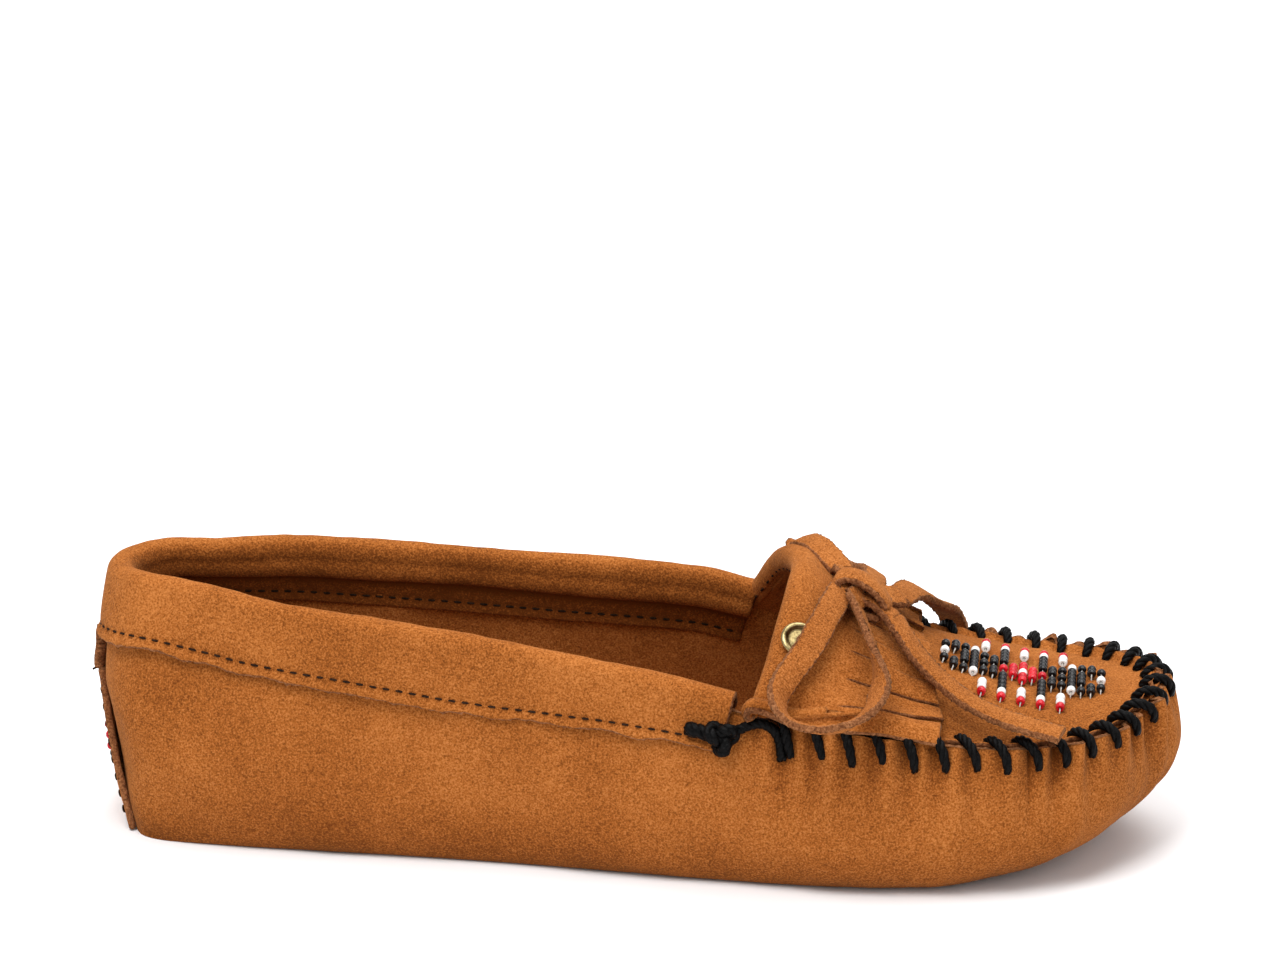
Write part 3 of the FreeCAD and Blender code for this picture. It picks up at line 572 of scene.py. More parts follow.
def between(phase):
    """0 at each stitch of the toe seam, 1 half-way between two."""
    return 0.5 - 0.5 * np.cos(2 * math.pi * phase)


def wrap_shift(u, s):
    """How far the soft wrap stands off its plain shape: gathers at the toe seam and swells on the sides."""
    p = wall(u, s)
    phase, strength = gather(u)
    toe = 0.55 + 0.75 * smooth((p[..., 0] - 160) / 25)
    depth = np.clip(2 - s, 0, 2)
    fold = strength * toe * (between(phase) - 0.55) * np.exp(-(depth / 0.5) ** 1.4) * 2.3
    wander = np.sin(math.pi * phase + 1.3 * np.sin(phase * 1.7))
    long_fold = strength * toe * wander * np.exp(-(depth / 0.95) ** 2)
    on_side = smooth(s / 0.5)
    swell = lumps(p, 46, 1) * 0.55 + lumps(p, 19, 2) * 0.2 + lumps(p, 7, 3) * 0.06
    return fold + long_fold + swell * on_side


def plate(build, ring, columns, flip, shaped=None, shade=0.0):
    """Fills a closed ring of points: strips across it, from its first point to the one opposite.

    shaped(rows, across) moves the strips' points, across being 0 to 1 from one side to the other."""
    half = len(ring) // 2
    w = np.linspace(0, 1, columns)[None, :, None]
    left, right = ring[1:half], ring[:half:-1][: half - 1]
    rows = left[:, None] * (1 - w) + right[:, None] * w
    if shaped:
        rows = shaped(rows, np.broadcast_to(w[..., 0], rows.shape[:2]))
    n, m = rows.shape[:2]
    faces = quads(n, m, flip=flip)
    points = np.concatenate([rows.reshape(-1, 3), ring[:1], ring[half:half + 1]])
    tip, tail = n * m, n * m + 1
    for j in range(m - 1):
        ends = [(tip, j, j + 1), (tail, (n - 1) * m + j + 1, (n - 1) * m + j)]
        faces += [e[::-1] if flip else e for e in ends]
    build.add(points, faces, 0, shade)


def make_wrap():
    build, rng = Build(), np.random.default_rng(11)
    count = 800
    u = (np.arange(count) / count)[:, None]
    s = (2 * np.linspace(0, 1, 72) ** 1.05)[None, :]
    s[0, 0] = 0
    shift = wrap_shift(u + 0 * s, s + 0 * u)
    outer, inner = skin(u, s, shift), skin(u, s, shift - LEATHER)
    outer[:, 0, 2], inner[:, 0, 2] = 0.02, LEATHER
    phase, strength = gather(u[:, 0])
    pinch = (strength * (1 - between(phase)))[:, None]
    top = np.exp(-((2 - s) / 0.05) ** 2)
    for side in (outer, inner):
        side[..., 2] = np.maximum(side[..., 2] - 0.35 * pinch * top, 0.02)
    # painted shade: the wall is darker towards the sole and darkest at the sole's edge, where less light falls
    shade = -0.12 * np.exp(-(s / 0.22)) - 0.22 * (1 - smooth(s / 1.35))
    # painted shade in the valleys of the gathers between the toe seam's stitches
    valley = pinch * np.exp(-((2 - s) / 0.5) ** 2)
    sheet(build, outer, LEATHER, rng, closed=True, inner=inner, shade=shade - 0.42 * valley)
    # painted shade on the underside of the sole
    plate(build, outer[:, 0], 26, flip=True, shade=-0.15)
    plate(build, inner[:, 0], 26, flip=False)
    build.finish("wrap", LEATHERS, "shoe", "suede", ["bottom_and_sides"])


def make_insole():
    """Sock over its foam, softly crowned and gently lumpy."""
    build = Build()
    u = np.arange(240) / 240
    rings = []
    for z, inset in ((2.2, 2.4), (4.5, 2.2), (6.3, 2.4), (6.75, 2.9)):
        ring = skin(u, s_at(u, z), -inset)
        ring[:, 2] = z
        rings.append(ring)
    grid = np.stack(rings, 1)
    build.add(grid, quads(240, 4, closed=True))

    def crowned(rows, across):
        crown = (1 - np.abs(2 * across - 1) ** 6) * (0.45 + 0.28 * lumps(rows, 34, 8) + 0.08 * lumps(rows, 8, 9))
        return rows + crown[..., None] * (0, 0, 1)

    plate(build, rings[-1], 40, flip=False, shaped=crowned)
    plate(build, rings[0], 4, flip=True)
    obj = build.finish("insole_sock", (SOCK,), "shoe", "sock", ["insole_cover", "insole_pad"])


# ---- the cuff
OUTER_ROW, INNER_ROW = -CUFF_DROP + 2.2, -CUFF_INSIDE + 2.6
STITCH_PITCH = 3.1


def make_cuff():
    """Padded band folded over the top edge; its section is given in millimetres out from and up above that edge."""
    rng = np.random.default_rng(21)
    start, end = u_at(CUFF_ENDS[1], 1) - 1, u_at(CUFF_ENDS[0], -1)
    u = np.linspace(start, end, 560)
    p, along = wall(u, 2), unit(wall(u + 0.002, 2) - wall(u - 0.002, 2))
    out = unit(np.cross(along, unit(p - wall(u, 1.9))))
    up = np.cross(out, along)
    turn = np.radians(np.linspace(-8, 188, 15))
    roll = [(-LEATHER / 2 + CUFF_ROLL * math.cos(a), 0.75 + CUFF_ROLL * math.sin(a)) for a in turn]
    outer_leg = [(2.05, -CUFF_DROP), (1.85, -12.4), (1.62, OUTER_ROW), (1.95, -9.6), (2.3, -6.5), (2.5, -3)]
    inner_leg = [(-5.1, -1.2), (-5.3, -3.0), (-4.7, -4.5), (-2.6, -5.0), (-2.8, -6.4), (-2.8, INNER_ROW),
                 (-2.85, -CUFF_INSIDE)]
    profile = rounded(outer_leg + roll + inner_leg, 84)
    out_by, up_by = profile.T
    outside, inner_side = out_by > 0, out_by < -1
    a, b = out_by[None], up_by[None]
    towards_toe = smooth((p[:, :1] - 80) / 69) * (p[:, 1:2] < 0)
    b = b * (1 - 0.30 * towards_toe * (a > 0) * (b < 0))
    grid = p[:, None] + out[:, None] * a[..., None] + up[:, None] * b[..., None]
    puff = smooth((b + 10) / 6)
    swell = 0.2 * lumps(grid, 40, 31) + 0.06 * lumps(grid, 13, 32) + 0.05 * lumps(grid, 5, 33)
    face = normals(grid)
    grid = grid + face * (swell * (0.35 + 0.65 * puff))[..., None]
    rows, grooves = [], 0.0
    for height, side in ((OUTER_ROW, 1), (INNER_ROW, -1)):
        column = np.argmin(np.abs(up_by - height) + 100 * (out_by * side < 0))
        run = run_along(grid[:, column])
        near = np.exp(-((up_by - height) / 0.75) ** 2) * (np.sign(out_by + 0.9) == side)
        beat = 0.6 + 0.4 * np.cos(2 * math.pi * (run - 3) / STITCH_PITCH)
        grooves = grooves + near[None] * beat[:, None]
        rows.append((column, run))
    edge = np.exp(-(np.abs(up_by + CUFF_DROP)) / 0.9) * outside
    wave = 0.35 * lumps(grid, 11, 34) + 0.2 * lumps(grid, 4, 35)
    grid = grid - face * (0.42 * grooves)[..., None] + up[:, None] * (wave * edge)[..., None]
    thinner = 0.7 * smooth(-4.7 - up_by) * inner_side + 0.35 * smooth((-10.5 - up_by) / 2) * outside
    # painted shade: the band's inside darker, darkest in the crease under the roll and on the flange below it, and
    # darker in the stitch grooves
    crease = np.exp(-((up_by + 5.4) / 0.9) ** 2) * inner_side
    painted_shade = -0.22 * smooth((-1.5 - out_by) / 2) - 0.6 * crease - 0.2 * smooth(-5.0 - up_by) * inner_side
    build, threads = Build(), Build()
    sheet(build, grid, SUEDE - thinner[None], rng, shade=painted_shade[None] - 0.22 * np.minimum(grooves, 1))
    for column, run in rows:
        line, at = grid[:, column], np.arange(3, run[-1] - 2, STITCH_PITCH)
        ways, ups = (unit(read_at(at, run, q)) for q in (np.gradient(line, axis=0), face[:, column]))
        for centre, way, high in zip(read_at(at, run, line), ways, ups):
            stitch(threads, centre, way, high, 2.1 + rng.normal() * 0.15, 0.27)
    build.finish("cuff", LEATHERS, "shoe", "suede", ["topline_cuff"])
    threads.finish("cuff_thread", (SEWING,), "shoe", "sewing_thread", ["cuff_stitching"])


# ---- toe plug and its lacing
def make_plug():
    build, rng = Build(), np.random.default_rng(41)
    f = 0.993 * np.linspace(0, 1, 150) ** 0.85
    first, last = u_at(152.0, -1), u_at(150.5, 1)
    u_near, u_far = first + (TIP_U - first) * f, last + (TIP_U - last) * f
    near, far = (skin(u, 2, -LEATHER - 0.25) for u in (u_near, u_far))
    w = (0.5 - 0.5 * np.cos(np.linspace(0, math.pi, 110)))[None, :]
    x, y = (near[:, [k]] + (far[:, [k]] - near[:, [k]]) * w for k in (0, 1))
    x = x + (fold_x(y) + FOLD_ROLL - 151.3) * (1 - smooth(f / 0.4))[:, None]
    rim = np.minimum(np.hypot(x - near[:, :1], y - near[:, 1:2]), np.hypot(x - far[:, :1], y - far[:, 1:2]))
    rim = np.minimum(rim, np.hypot(x - near[-1, 0], y - (near[-1, 1] + far[-1, 1]) / 2))
    z = plug_z(x, y) + (RIDGE - 0.2) * (1 - smooth(rim / 3.4))
    nearest = np.where(w < 0.5, u_near[:, None], u_far[:, None])
    phase, strength = gather(nearest)
    z = z + 0.55 * (between(phase) - 0.5) * strength * np.exp(-(rim / 4.5) ** 2)
    grid = point(x, y, z)
    swell = 0.3 * lumps(grid, 30, 42) + 0.12 * lumps(grid, 11, 43)
    grid[..., 2] += swell * smooth(rim / 6)
    # painted shade along the plug's edge by the seam ridge, between the stitches
    sheet(build, grid, SUEDE, rng, shade=-0.2 * np.exp(-(rim / 2.2) ** 2) * (1 - between(phase)))
    build.finish("plug", LEATHERS, "shoe", "suede", ["toe_plug"])


def arc_through(a, b, c, count):
    """Points along the circle's arc through three points."""
    ab, ac = b - a, c - a
    n = np.cross(ab, ac)
    centre = a + (np.cross(n, ab) * (ac @ ac) + np.cross(ac, n) * (ab @ ab)) / (2 * n @ n)
    r, axis = a - centre, unit(n)
    end = c - centre
    other = np.cross(axis, r)
    angle = math.atan2(end @ other, end @ r) % (2 * math.pi)
    t = np.linspace(-0.06, 1.06, count)[:, None] * angle
    return centre + r * np.cos(t) + other * np.sin(t)


def make_lacing():
    build, rng = Build(), np.random.default_rng(51)
    for u in STITCH_U[1:-1]:
        slant = 0.0035 + rng.normal() * 0.0004
        inner = skin(u - slant, 2, -LEATHER - 3.2)
        inner[2] = plug_z(inner[0], inner[1]) + 0.35
        crest = wall(u, 2) + (0, 0, 0.95)
        outer = skin(u + slant, 1.775 + rng.normal() * 0.015, 0.4)
        rope(build, arc_through(inner, crest, outer, 26), 1.2, 5.5, count=26, taper=0.3)
    build.finish("lacing", (WAXED,), "shoe", "waxed_thread", ["toe_lacing"])


def make_thread_knot(name, x, side, node):
    """Overhand knot at the lacing's end, with the cut end behind it and the run to the first hole ahead."""
    build = Build()
    c = skin(u_at(x, side), 1.86, 1.6) + (-3.5, 0.5 * side, -1.2)
    out, along, up = unit(np.array((0, side, 0.25))), unit(np.array((1, 0, -0.1))), np.array((0, -0.25 * side, 1))
    turn = np.linspace(0, 2 * math.pi, 60)[:, None]
    trefoil = (along * (np.sin(turn) + 1.7 * np.sin(2 * turn)) + up * (np.cos(turn) - 1.7 * np.cos(2 * turn))
               + out * (-1.2 * np.sin(3 * turn))) * 1.12
    rope(build, c + out * 1.3 + trefoil, 1.5, 5.0)
    cut_end = [c - along, c - along * 5 + up * 0.6 + out * 0.4, c - along * 8 + up]
    rope(build, rounded(cut_end, 20), 1.7, 5.5)
    to_seam = [c + along, c + along * 4 + up * 2.4 + out * 0.7, c + along * 9 + up * 4.6 + out * 0.3,
               c + along * 13 + up * 2 - out * 0.5, c + along * 13.6 - up * 3.5 - out * 0.8]
    rope(build, rounded(to_seam, 40), 1.2, 4.5)
    build.finish(name, (WAXED,), "shoe", "waxed_thread", [node])


# ---- fold, kiltie flap and fringe
def fold_frame(y):
    """Places along the fold's rear line, with the ways forward and up from it."""
    before, start, after = (point(fold_x(v), v, plug_z(fold_x(v), v)) for v in (y - 1, y, y + 1))
    across = unit(after - before)
    forward = unit(np.cross(across, plug_normal(fold_x(y), y)))
    return start, forward, np.cross(forward, across)


def over_rim(x, y):
    """1 where the flap passes over the seam at either side, 0 in the middle."""
    low, high = seam_at(SEAM_NEAR, x)[0], seam_at(SEAM_FAR, x)[0]
    return np.maximum(smooth((low + 9 - y) / 8), smooth((y - high + 9) / 8))


def flap_front(y):
    return FLAP_FRONT - 4.0 * smooth((y + 20) / 40) + 3.0 * smooth((-y - 15) / 20)


def fold_section(y):
    """(radius, centre height) of the roll: it flattens at both ends, where it lies on the wrap's edge."""
    end = np.maximum(smooth((-y - 26) / 8), 0.35 * smooth((y - 27) / 8))
    return FOLD_ROLL - 1.2 * end, -0.2 + 4.3 * end


def round_fold(y, angles, inset=0.0):
    """Points on the fold's roll at the angles given, inset millimetres inside it."""
    radius, centre = (q[:, None] for q in fold_section(y))
    radius = radius - inset
    start, forward, up = (q[:, None] for q in fold_frame(y))
    return (start + forward * (radius * (1 + np.cos(angles)) + inset)[..., None]
            + up * (centre + radius * np.sin(angles))[..., None])


def flap_point(y, g):
    """Upper face of the flap, g from 0 at the fold's crown to 1 at the fringe's ends."""
    radius, centre = fold_section(y)
    start, forward, up = fold_frame(y)
    crown = start + forward * radius[..., None] + up * (centre + radius)[..., None]
    x = crown[..., 0] + (flap_front(y) - crown[..., 0]) * g
    yy = crown[..., 1] + (y - crown[..., 1]) * g
    first = crown[..., 2] - plug_z(crown[..., 0], crown[..., 1])
    settle = smooth((x - 181) / 10)
    lift = FLAP_LIFT * (1 - 0.62 * settle) + SUEDE + (FLAP_SIDES - 0.7) * over_rim(x, yy)
    join = smooth(g / 0.35)
    droop = 0.8 * np.maximum(seam_at(SEAM_NEAR, x)[0] + 0.8 - yy, 0) ** 1.15
    return point(x, yy, plug_z(x, yy) + first * (1 - join) + (lift - droop) * join)


def make_flap():
    """One piece of suede: up out of the throat, over the fold and down to its cut fringe."""
    build, rng = Build(), np.random.default_rng(61)
    strips = FRINGE_CUTS + 1
    edges = np.linspace(FLAP_LOW, FLAP_HIGH, strips + 1)
    across, along, rolled, slit = 12, 58, 32, 0.24
    slit_from = 1 - FRINGE_LENGTH / FLAP_SPAN
    g = np.linspace(0, 1, along)[None, :]
    cut, free = smooth((g - slit_from) / 0.06), smooth((g - slit_from) / (1 - slit_from))
    turn = np.radians(np.linspace(246, 96, rolled))[None, :]
    grids = []
    for k in range(strips):
        gap, gap_high = slit * (k > 0), slit * (k < strips - 1)
        lift, longer, twist = rng.uniform(0, 1.0), rng.normal() * 0.5, rng.normal() * 0.035
        y0 = np.linspace(edges[k], edges[k + 1], across)[:, None]
        v = (y0 - edges[k]) / (edges[k + 1] - edges[k]) * 2 - 1
        y = edges[k] + gap * cut + (y0 - edges[k]) * (1 - (gap + gap_high) * cut / (edges[k + 1] - edges[k]))
        face = flap_point(y, g + free * longer / FLAP_SPAN + 0 * y)
        face[..., 2] += free ** 2 * (lift + twist * v * 12) - free * v ** 2 * 0.25
        grid = np.concatenate([round_fold(y0[:, 0], turn), face], 1)
        grid[..., 2] += 0.22 * lumps(grid, 24, 62) + 0.10 * lumps(grid, 9, 63)
        grids.append(grid.transpose(1, 0, 2))
    whole = np.concatenate(grids, 1)
    outward = normals(whole)
    whole_rows = rolled + int(np.argmax(cut[0] > 0))
    for k in range(across, whole.shape[1], across):
        shared = unit(outward[:whole_rows, k - 1] + outward[:whole_rows, k])
        outward[:whole_rows, k - 1] = outward[:whole_rows, k] = shared
    # painted shade: darker where the flap comes up out of the throat under the fold's roll
    shade = -0.1 * np.exp(-np.linspace(0, 1, whole.shape[0]) / 0.12)[:, None]
    for k, grid in enumerate(grids):
        inner = grid - outward[:, k * across:(k + 1) * across] * SUEDE
        joined = [side for side, inside in ((0, k > 0), (across - 1, k < strips - 1)) if inside]
        sheet(build, grid, SUEDE, rng, inner=inner, shade=shade, joined=(joined, whole_rows))
    obj = build.finish("kiltie", LEATHERS, None, "suede", ["fringed_flap"])
    obj.modifiers.new("weld", "WELD").merge_threshold = 0.00002
    welded = evaluated(obj)
    obj.modifiers.clear()
    obj.data = welded
    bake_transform(obj)


def on_flap(x, y):
    """Point of the flap's upper face over (x, y), and the way that face looks."""
    def at(x, y):
        row = np.array(float(y))
        for _ in range(12):
            crown = flap_point(row, np.array(0.0))[0]
            found = flap_point(row, (x - crown) / (flap_front(row) - crown))
            row = row + (y - found[1])
        return found
    here = at(x, y)
    return here, unit(np.cross(at(x + 1, y) - here, at(x, y + 1) - here))


def make_casing():
    """The part inside the throat: the end of the fold turned in under the plug and stitched."""
    build, threads, rng = Build(), Build(), np.random.default_rng(71)
    y = np.linspace(-30.5, 36, 96)
    fold = round_fold(y, np.radians(np.linspace(186, 270, 20))[None, :], inset=0.25)
    radius, centre = fold_section(y)
    radius = radius - 0.25
    leg = np.linspace(0.6, CASING_LEG, 14)[None, :]
    x = fold_x(y)[:, None] + radius[:, None] + leg
    under = over_plug(x, y[:, None] + 0 * leg, (centre - radius)[:, None] + 0 * leg)
    grid = np.concatenate([fold, under], 1)[::-1].transpose(1, 0, 2)  # reversed, so that it faces down and out
    grid[..., 2] += 0.12 * lumps(grid, 14, 72)
    sheet(build, grid, SUEDE, rng)
    face = normals(grid)
    stitch_row = 11
    for k in range(3, 94, 4):
        way = unit(grid[stitch_row, k + 1] - grid[stitch_row, k - 1])
        stitch(threads, grid[stitch_row, k], way, face[stitch_row, k], 1.9, 0.3)
    build.finish("throat_leg", LEATHERS, "shoe", "suede", ["throat_casing"])
    threads.finish("throat_thread", (SEWING,), "shoe", "sewing_thread", ["casing_stitching"])


# ---- lace: bow loops, tails and knot
def nurbs_line(name, route):
    """Points read from the smooth spline that has the route's points as its control points."""
    data = bpy.data.curves.new(name, "CURVE")
    data.dimensions = "3D"
    data.resolution_u = 24
    spline = data.splines.new("NURBS")
    spline.points.add(len(route) - 1)
    for p, at in zip(spline.points, to_frame(route)):
        p.co = (*at, 1)
    spline.order_u = 3
    spline.use_endpoint_u = True
    holder = put(name, data)
    points = np.array([v.co for v in evaluated(holder).vertices])
    bpy.data.objects.remove(holder)
    return points


def strap(build, line, faces, seed, width=LACE_WIDTH, cup=0.25):
    """Flat lace along a line in millimetres; faces says which way its broad side looks, and cup how hollow it is."""
    n = max(12, int(run_along(line)[-1] / 0.55))
    line = spread(line, n)
    rng = np.random.default_rng(seed)
    tangent = unit(np.gradient(line, axis=0))
    look = read_at(np.linspace(0, len(faces) - 1, n), np.arange(len(faces)), np.array(faces, float))
    high = unit(look - tangent * (look * tangent).sum(1, keepdims=True))
    side = np.cross(tangent, high)
    w, h = width / 2, LACE_THICK / 2
    lanes = np.array([-1, -0.94, -0.7, -0.35, 0, 0.35, 0.7, 0.94, 1])
    section = [(w * k, h - cup * (k * k) - 0.12 * (abs(k) > 0.9)) for k in lanes] + [(w + 0.12, 0.0)]
    section += [(w * k, -h - cup * (k * k) * 0.6 + 0.12 * (abs(k) > 0.9)) for k in lanes[::-1]] + [(-w - 0.12, 0.0)]
    section = np.array(section)
    wide = 1 + 0.04 * lumps(line, 12, seed + 1)
    grid = (line[:, None] + side[:, None] * (section[None, :, 0] * wide[:, None])[..., None]
            + high[:, None] * section[None, :, 1][..., None])
    cut = np.abs(section[:, 0]) > w * 0.9
    grid += rng.normal(size=grid.shape) * np.where(cut, 0.13, 0.035)[None, :, None]
    kinds = np.append(np.tile(cut & np.roll(cut, -1), n - 1), [True, True]).astype(int)
    build.add(grid, sleeve(n, len(section), flip=True), kinds)


def make_lace(name, route, faces, body, node, seed):
    build = Build()
    metres = nurbs_line(name, route)
    strap(build, metres * 1000 + ORIGIN, faces, seed)
    obj = build.finish(name, (LACE, RAW), body, "lace", [node])


def make_knot():
    """Bow's knot: a turn of lace round the other strands, which run out of it to the loops and tails."""
    build = Build()
    x, y = (np.array(float(v)) for v in KNOT_AT)
    base = point(x, y, plug_z(x, y) + FLAP_LIFT + SUEDE)
    high = plug_normal(x, y)
    towards_near = np.array((0.05, -1, 0.10))
    out = unit(towards_near - high * (towards_near @ high))
    right = np.cross(out, high)
    c = base + high * 3.3 + out * 2.8 + right * 1.3
    turn = np.radians(np.linspace(-215, 150, 40))[:, None]
    ring = c + right * np.cos(turn) * 6.9 + high * np.sin(turn) * 3.7 + out * (turn * 0.2)
    looks = right * np.cos(turn) + high * np.sin(turn)
    strap(build, ring, looks, 81, width=6.8, cup=0.55)
    for k, (end, way) in enumerate((((172, -10.8, 62), (.5, -.2, .8)), ((174.8, -12.0, 60.4), (.9, .1, .4)),
                                    ((171.5, 2.2, 62.8), (.5, .1, .8)), ((178.8, 3.0, 59.8), (.75, .1, .65)),
                                    ((184.4, -10.1, 55.7), (.5, -.1, .8)), ((185.2, 1.0, 57), (.5, -.2, .8)))):
        leg = rounded([c + (np.array(end) - c) * 0.05, c * 0.5 + np.array(end) * 0.5 + high * 0.5, end], 10)
        strap(build, leg, [way, way], 82 + k, width=5.6)
    build.finish("bow_knot", (LACE, RAW), "kiltie", "lace", ["lace_knot"])


# ---- stud, beads, heel
def make_stud():
    """Brass cap turned about the way the flap looks there, set where it covers the washer's middle."""
    build, sides = Build(), 48
    seat, axis = on_flap(STUD_AT[0] - 0.4, STUD_AT[1] - 1.2)
    profile = rounded([(0.001, 0.62), (1.1, 0.58), (1.9, 0.36), (2.5, 0.30), (2.9, 0.62), (3.3, 1.0), (3.8, 1.02),
                       (4.2, 0.72), (4.3, 0.35), (4.2, 0.0), (3.6, -0.1)], 40)
    side = unit(np.cross(axis, (0.3, 0.9, 0.1)))
    turn = np.arange(sides)[:, None] * 2 * math.pi / sides
    ring = side * np.cos(turn) + np.cross(axis, side) * np.sin(turn)
    grid = seat + ring[:, None] * profile[None, :, :1] + axis * profile[None, :, 1:]
    build.add(grid, quads(sides, len(profile), closed=True))
    build.finish("stud", (BRASS,), "kiltie", "brass", ["stud_cap"])


# Beaded medallion seen from above, toe to the right; a dot is a place with no bead. Both halves are alike.
MOTIF = ["....r.r.r.r.r....",
         "....w.w.w.w.w....",
         "....w.k.w.k.w....",
         "......k...k......",
         ".kkw..k...k..wkk.",
         "kk.kkkk.r.kkkk.kk",
         "..kk.k.rrr.k.kk..",
         "w.kkk.rrwrr.kkk.w"]
MOTIF += MOTIF[-2::-1]
MOTIF_CENTRE = (213.4, 0.5)
MOTIF_LANE, MOTIF_PITCH = 2 * BEAD_R + 0.12, BEAD_LONG + 0.2


def make_bead_threads():
    """White thread through each run of beads, down into the suede at both ends of the run."""
    build = Build()
    rows = len(MOTIF)
    for column in range(len(MOTIF[0])):
        x = MOTIF_CENTRE[0] + (column - (len(MOTIF[0]) - 1) / 2) * MOTIF_LANE
        beads = [row for row in range(rows) if MOTIF[row][column] != "."]
        runs = np.split(beads, np.where(np.diff(beads) != 1)[0] + 1)
        for run in runs:
            ends = [MOTIF_CENTRE[1] + ((rows - 1) / 2 - row) * MOTIF_PITCH for row in (run[-1], run[0])]
            y = np.linspace(ends[0] - BEAD_LONG / 2 - 0.05, ends[1] + BEAD_LONG / 2 + 0.05, 4 * len(run))
            line = over_plug(np.full(y.shape, x), y, BEAD_R + 0.12)
            low = [over_plug(x, y[k] + d, -0.2) for k, d in ((0, -0.25), (-1, 0.25))]
            tube(build, rounded([low[0], *line, low[1]], 6 * len(run) + 6), 0.16, 6)
    build.finish("bead_thread", (WHITE_THREAD,), "shoe", "sewing_thread")


def tab_half(z):
    return 18.0 - 12.5 * smooth((np.asarray(z, float) - 4) / 34)


def on_heel(y, z, outward):
    """(u, point) of the heel, outward millimetres off the wall, y to the side of its middle and z high."""
    y, z = floats(y, z)
    low, high = halve(np.zeros(y.shape), np.where(y < 0, 0.12, -0.12),
                      lambda u: np.abs(skin(u, s_at(u, z), outward)[..., 1] - BACK_Y) < np.abs(y), 24)
    u = (low + high) / 2
    return u, skin(u, s_at(u, z), outward)


def make_heel():
    rng = np.random.default_rng(91)
    for name, z0, z1, half, thick, node, slot in (
            ("heel_patch", 1.0, 35.0, tab_half, SUEDE, "heel_tab", "suede"),
            ("seam_welt", 35.4, 44.0, lambda z: 3.4 + 0 * z, 2.4, "back_seam_welt", "suede")):
        build = Build()
        z = np.linspace(z0, z1, 60)[:, None]
        w = np.linspace(-1, 1, 46)[None, :]
        width = half(z) + 0.35 * lumps(point(0 * z, 0 * z, z), 9, 92)
        u, _ = on_heel(width * w, z + 0 * w, 0.2 + thick)
        lift = 0.2 + thick + 0.15 * lumps(point(0 * w + 0 * z, width * w, z + 0 * w), 8, 93)
        grid = skin(u, s_at(u, z + 0 * w), lift)
        sheet(build, grid, thick, rng, fray=0.16)
        build.finish(name, LEATHERS, "shoe", slot, [node])
    threads = Build()
    for side in (-1, 1):
        for i in range(8):
            z = 5 + i * 3.6
            y = side * (tab_half(z) - 2.2)
            _, (low, mid, high) = on_heel(np.full(3, y), np.array((z - 0.9, z, z + 0.9)), 0.2 + SUEDE)
            _, out = on_heel(np.array(y), np.array(z), 0.2 + SUEDE + 1)
            stitch(threads, mid, unit(high - low), unit(out - mid), 2.1, 0.3)
    _, at = on_heel(np.array(0.6), np.array(33.5), 1.6)
    tube(threads, rounded([at, at + (-1.6, -0.2, 0.4), at + (-2.6, 0.3, -0.3)], 10), 0.28, 6)
    threads.finish("heel_thread", (SEWING,), "shoe", "sewing_thread", ["heel_stitching"])


# ---- carried-over nodes
def dress(node, material):
    """Gives a node of the frame that stays as it is its material."""
    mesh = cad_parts[node].data
    mesh.materials.clear()
    mesh.materials.append(material)
    mesh.polygons.foreach_set("material_index", [0] * len(mesh.polygons))
    mesh.polygons.foreach_set("use_smooth", [True] * len(mesh.polygons))


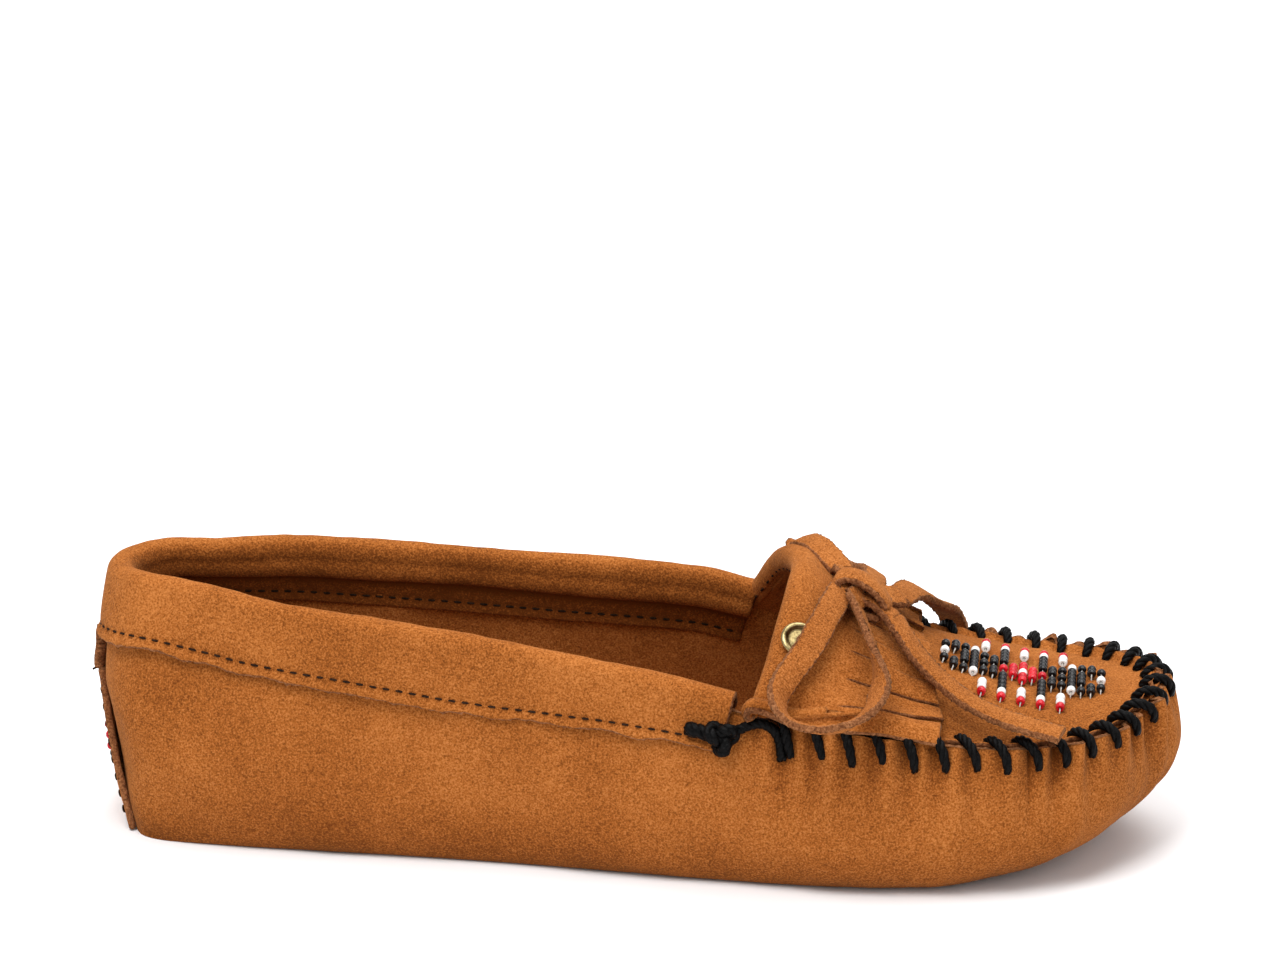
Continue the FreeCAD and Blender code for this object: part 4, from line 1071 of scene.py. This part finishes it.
# ---- stage
def make_stage():
    world = bpy.data.worlds.new("studio")
    bpy.context.scene.world = world
    world.use_nodes = True
    light = world.node_tree.nodes["Background"].inputs
    light["Color"].default_value, light["Strength"].default_value = (1, 1, 1, 1), 0.62
    mesh = bpy.data.meshes.new("floor")
    mesh.from_pydata([(-3, -3, 0), (3, -3, 0), (3, 3, 0), (-3, 3, 0)], [], [(0, 1, 2, 3)])
    floor = put("floor", mesh)
    look = Look("paper_floor", Roughness=0.9, Specular_IOR_Level=0.1)
    look.colour(look.noise(40, 2, 0.5), (0.3, (0.90, 0.90, 0.905)), (0.7, (0.915, 0.915, 0.92)))
    mesh.materials.append(look.material)
    for name, at, size, power in (("key", (-0.35, -0.55, 1.25), 0.8, 15), ("top", (0.25, 0.45, 1.3), 1.1, 13),
                                  ("fill", (0.9, -0.9, 0.7), 1.0, 3)):
        light = bpy.data.lights.new(name, "AREA")
        light.energy, light.size = power, size
        lamp = put(name, light)
        lamp.location = at
        lamp.rotation_euler = (Vector((0, 0, 0.03)) - Vector(at)).to_track_quat("-Z", "Y").to_euler()


def make_camera(azimuth=5.5, elevation=20.5, distance=1.3, target=(125.0, 0.0, 30.0), aim_above=2.25):
    """The shoe stands in the lower part of the frame, so the camera looks a little above it."""
    data = bpy.data.cameras.new("camera")
    data.lens, data.sensor_width = 157.2, 36.0
    a, e = math.radians(azimuth), math.radians(elevation)
    back = Vector((math.sin(a) * math.cos(e), -math.cos(a) * math.cos(e), math.sin(e)))
    right = Vector((math.cos(a), math.sin(a), 0))
    place = Matrix.Translation(Vector(to_frame(target)) + back * distance)
    turn = Matrix((right, back.cross(right), back)).transposed().to_4x4()
    camera = put("camera", data)
    camera.matrix_world = place @ turn @ Matrix.Rotation(math.radians(aim_above), 4, "X")
    bpy.context.scene.camera = camera
    bpy.context.scene.view_settings.view_transform = "Standard"


make_camera()
make_stage()
make_wrap()
make_insole()
make_cuff()
make_plug()
make_lacing()
make_thread_knot("near_thread_knot", 151.0, -1, "near_lacing_knot")
make_thread_knot("far_thread_knot", 149.0, 1, "far_lacing_knot")
make_flap()
make_casing()
make_lace("near_bow", NEAR_LOOP, NEAR_LOOP_FACES, "near_loop", "near_bow_loop", 101)
make_lace("far_bow", FAR_LOOP, FAR_LOOP_FACES, "far_loop", "far_bow_loop", 111)
make_lace("near_tail_lace", NEAR_TAIL, NEAR_TAIL_FACES, "near_tail", "near_lace_tail", 121)
make_lace("far_tail_lace", FAR_TAIL, FAR_TAIL_FACES, "far_tail", "far_lace_tail", 131)
make_knot()
make_stud()
make_bead_threads()
make_heel()
for colour, material in BEADS.items():
    dress(f"toe_beads_{colour}", material)
    dress(f"heel_beads_{colour}", material)
dress("lace_in_cuff", LACE)
dress("stud_washer", BRASS)
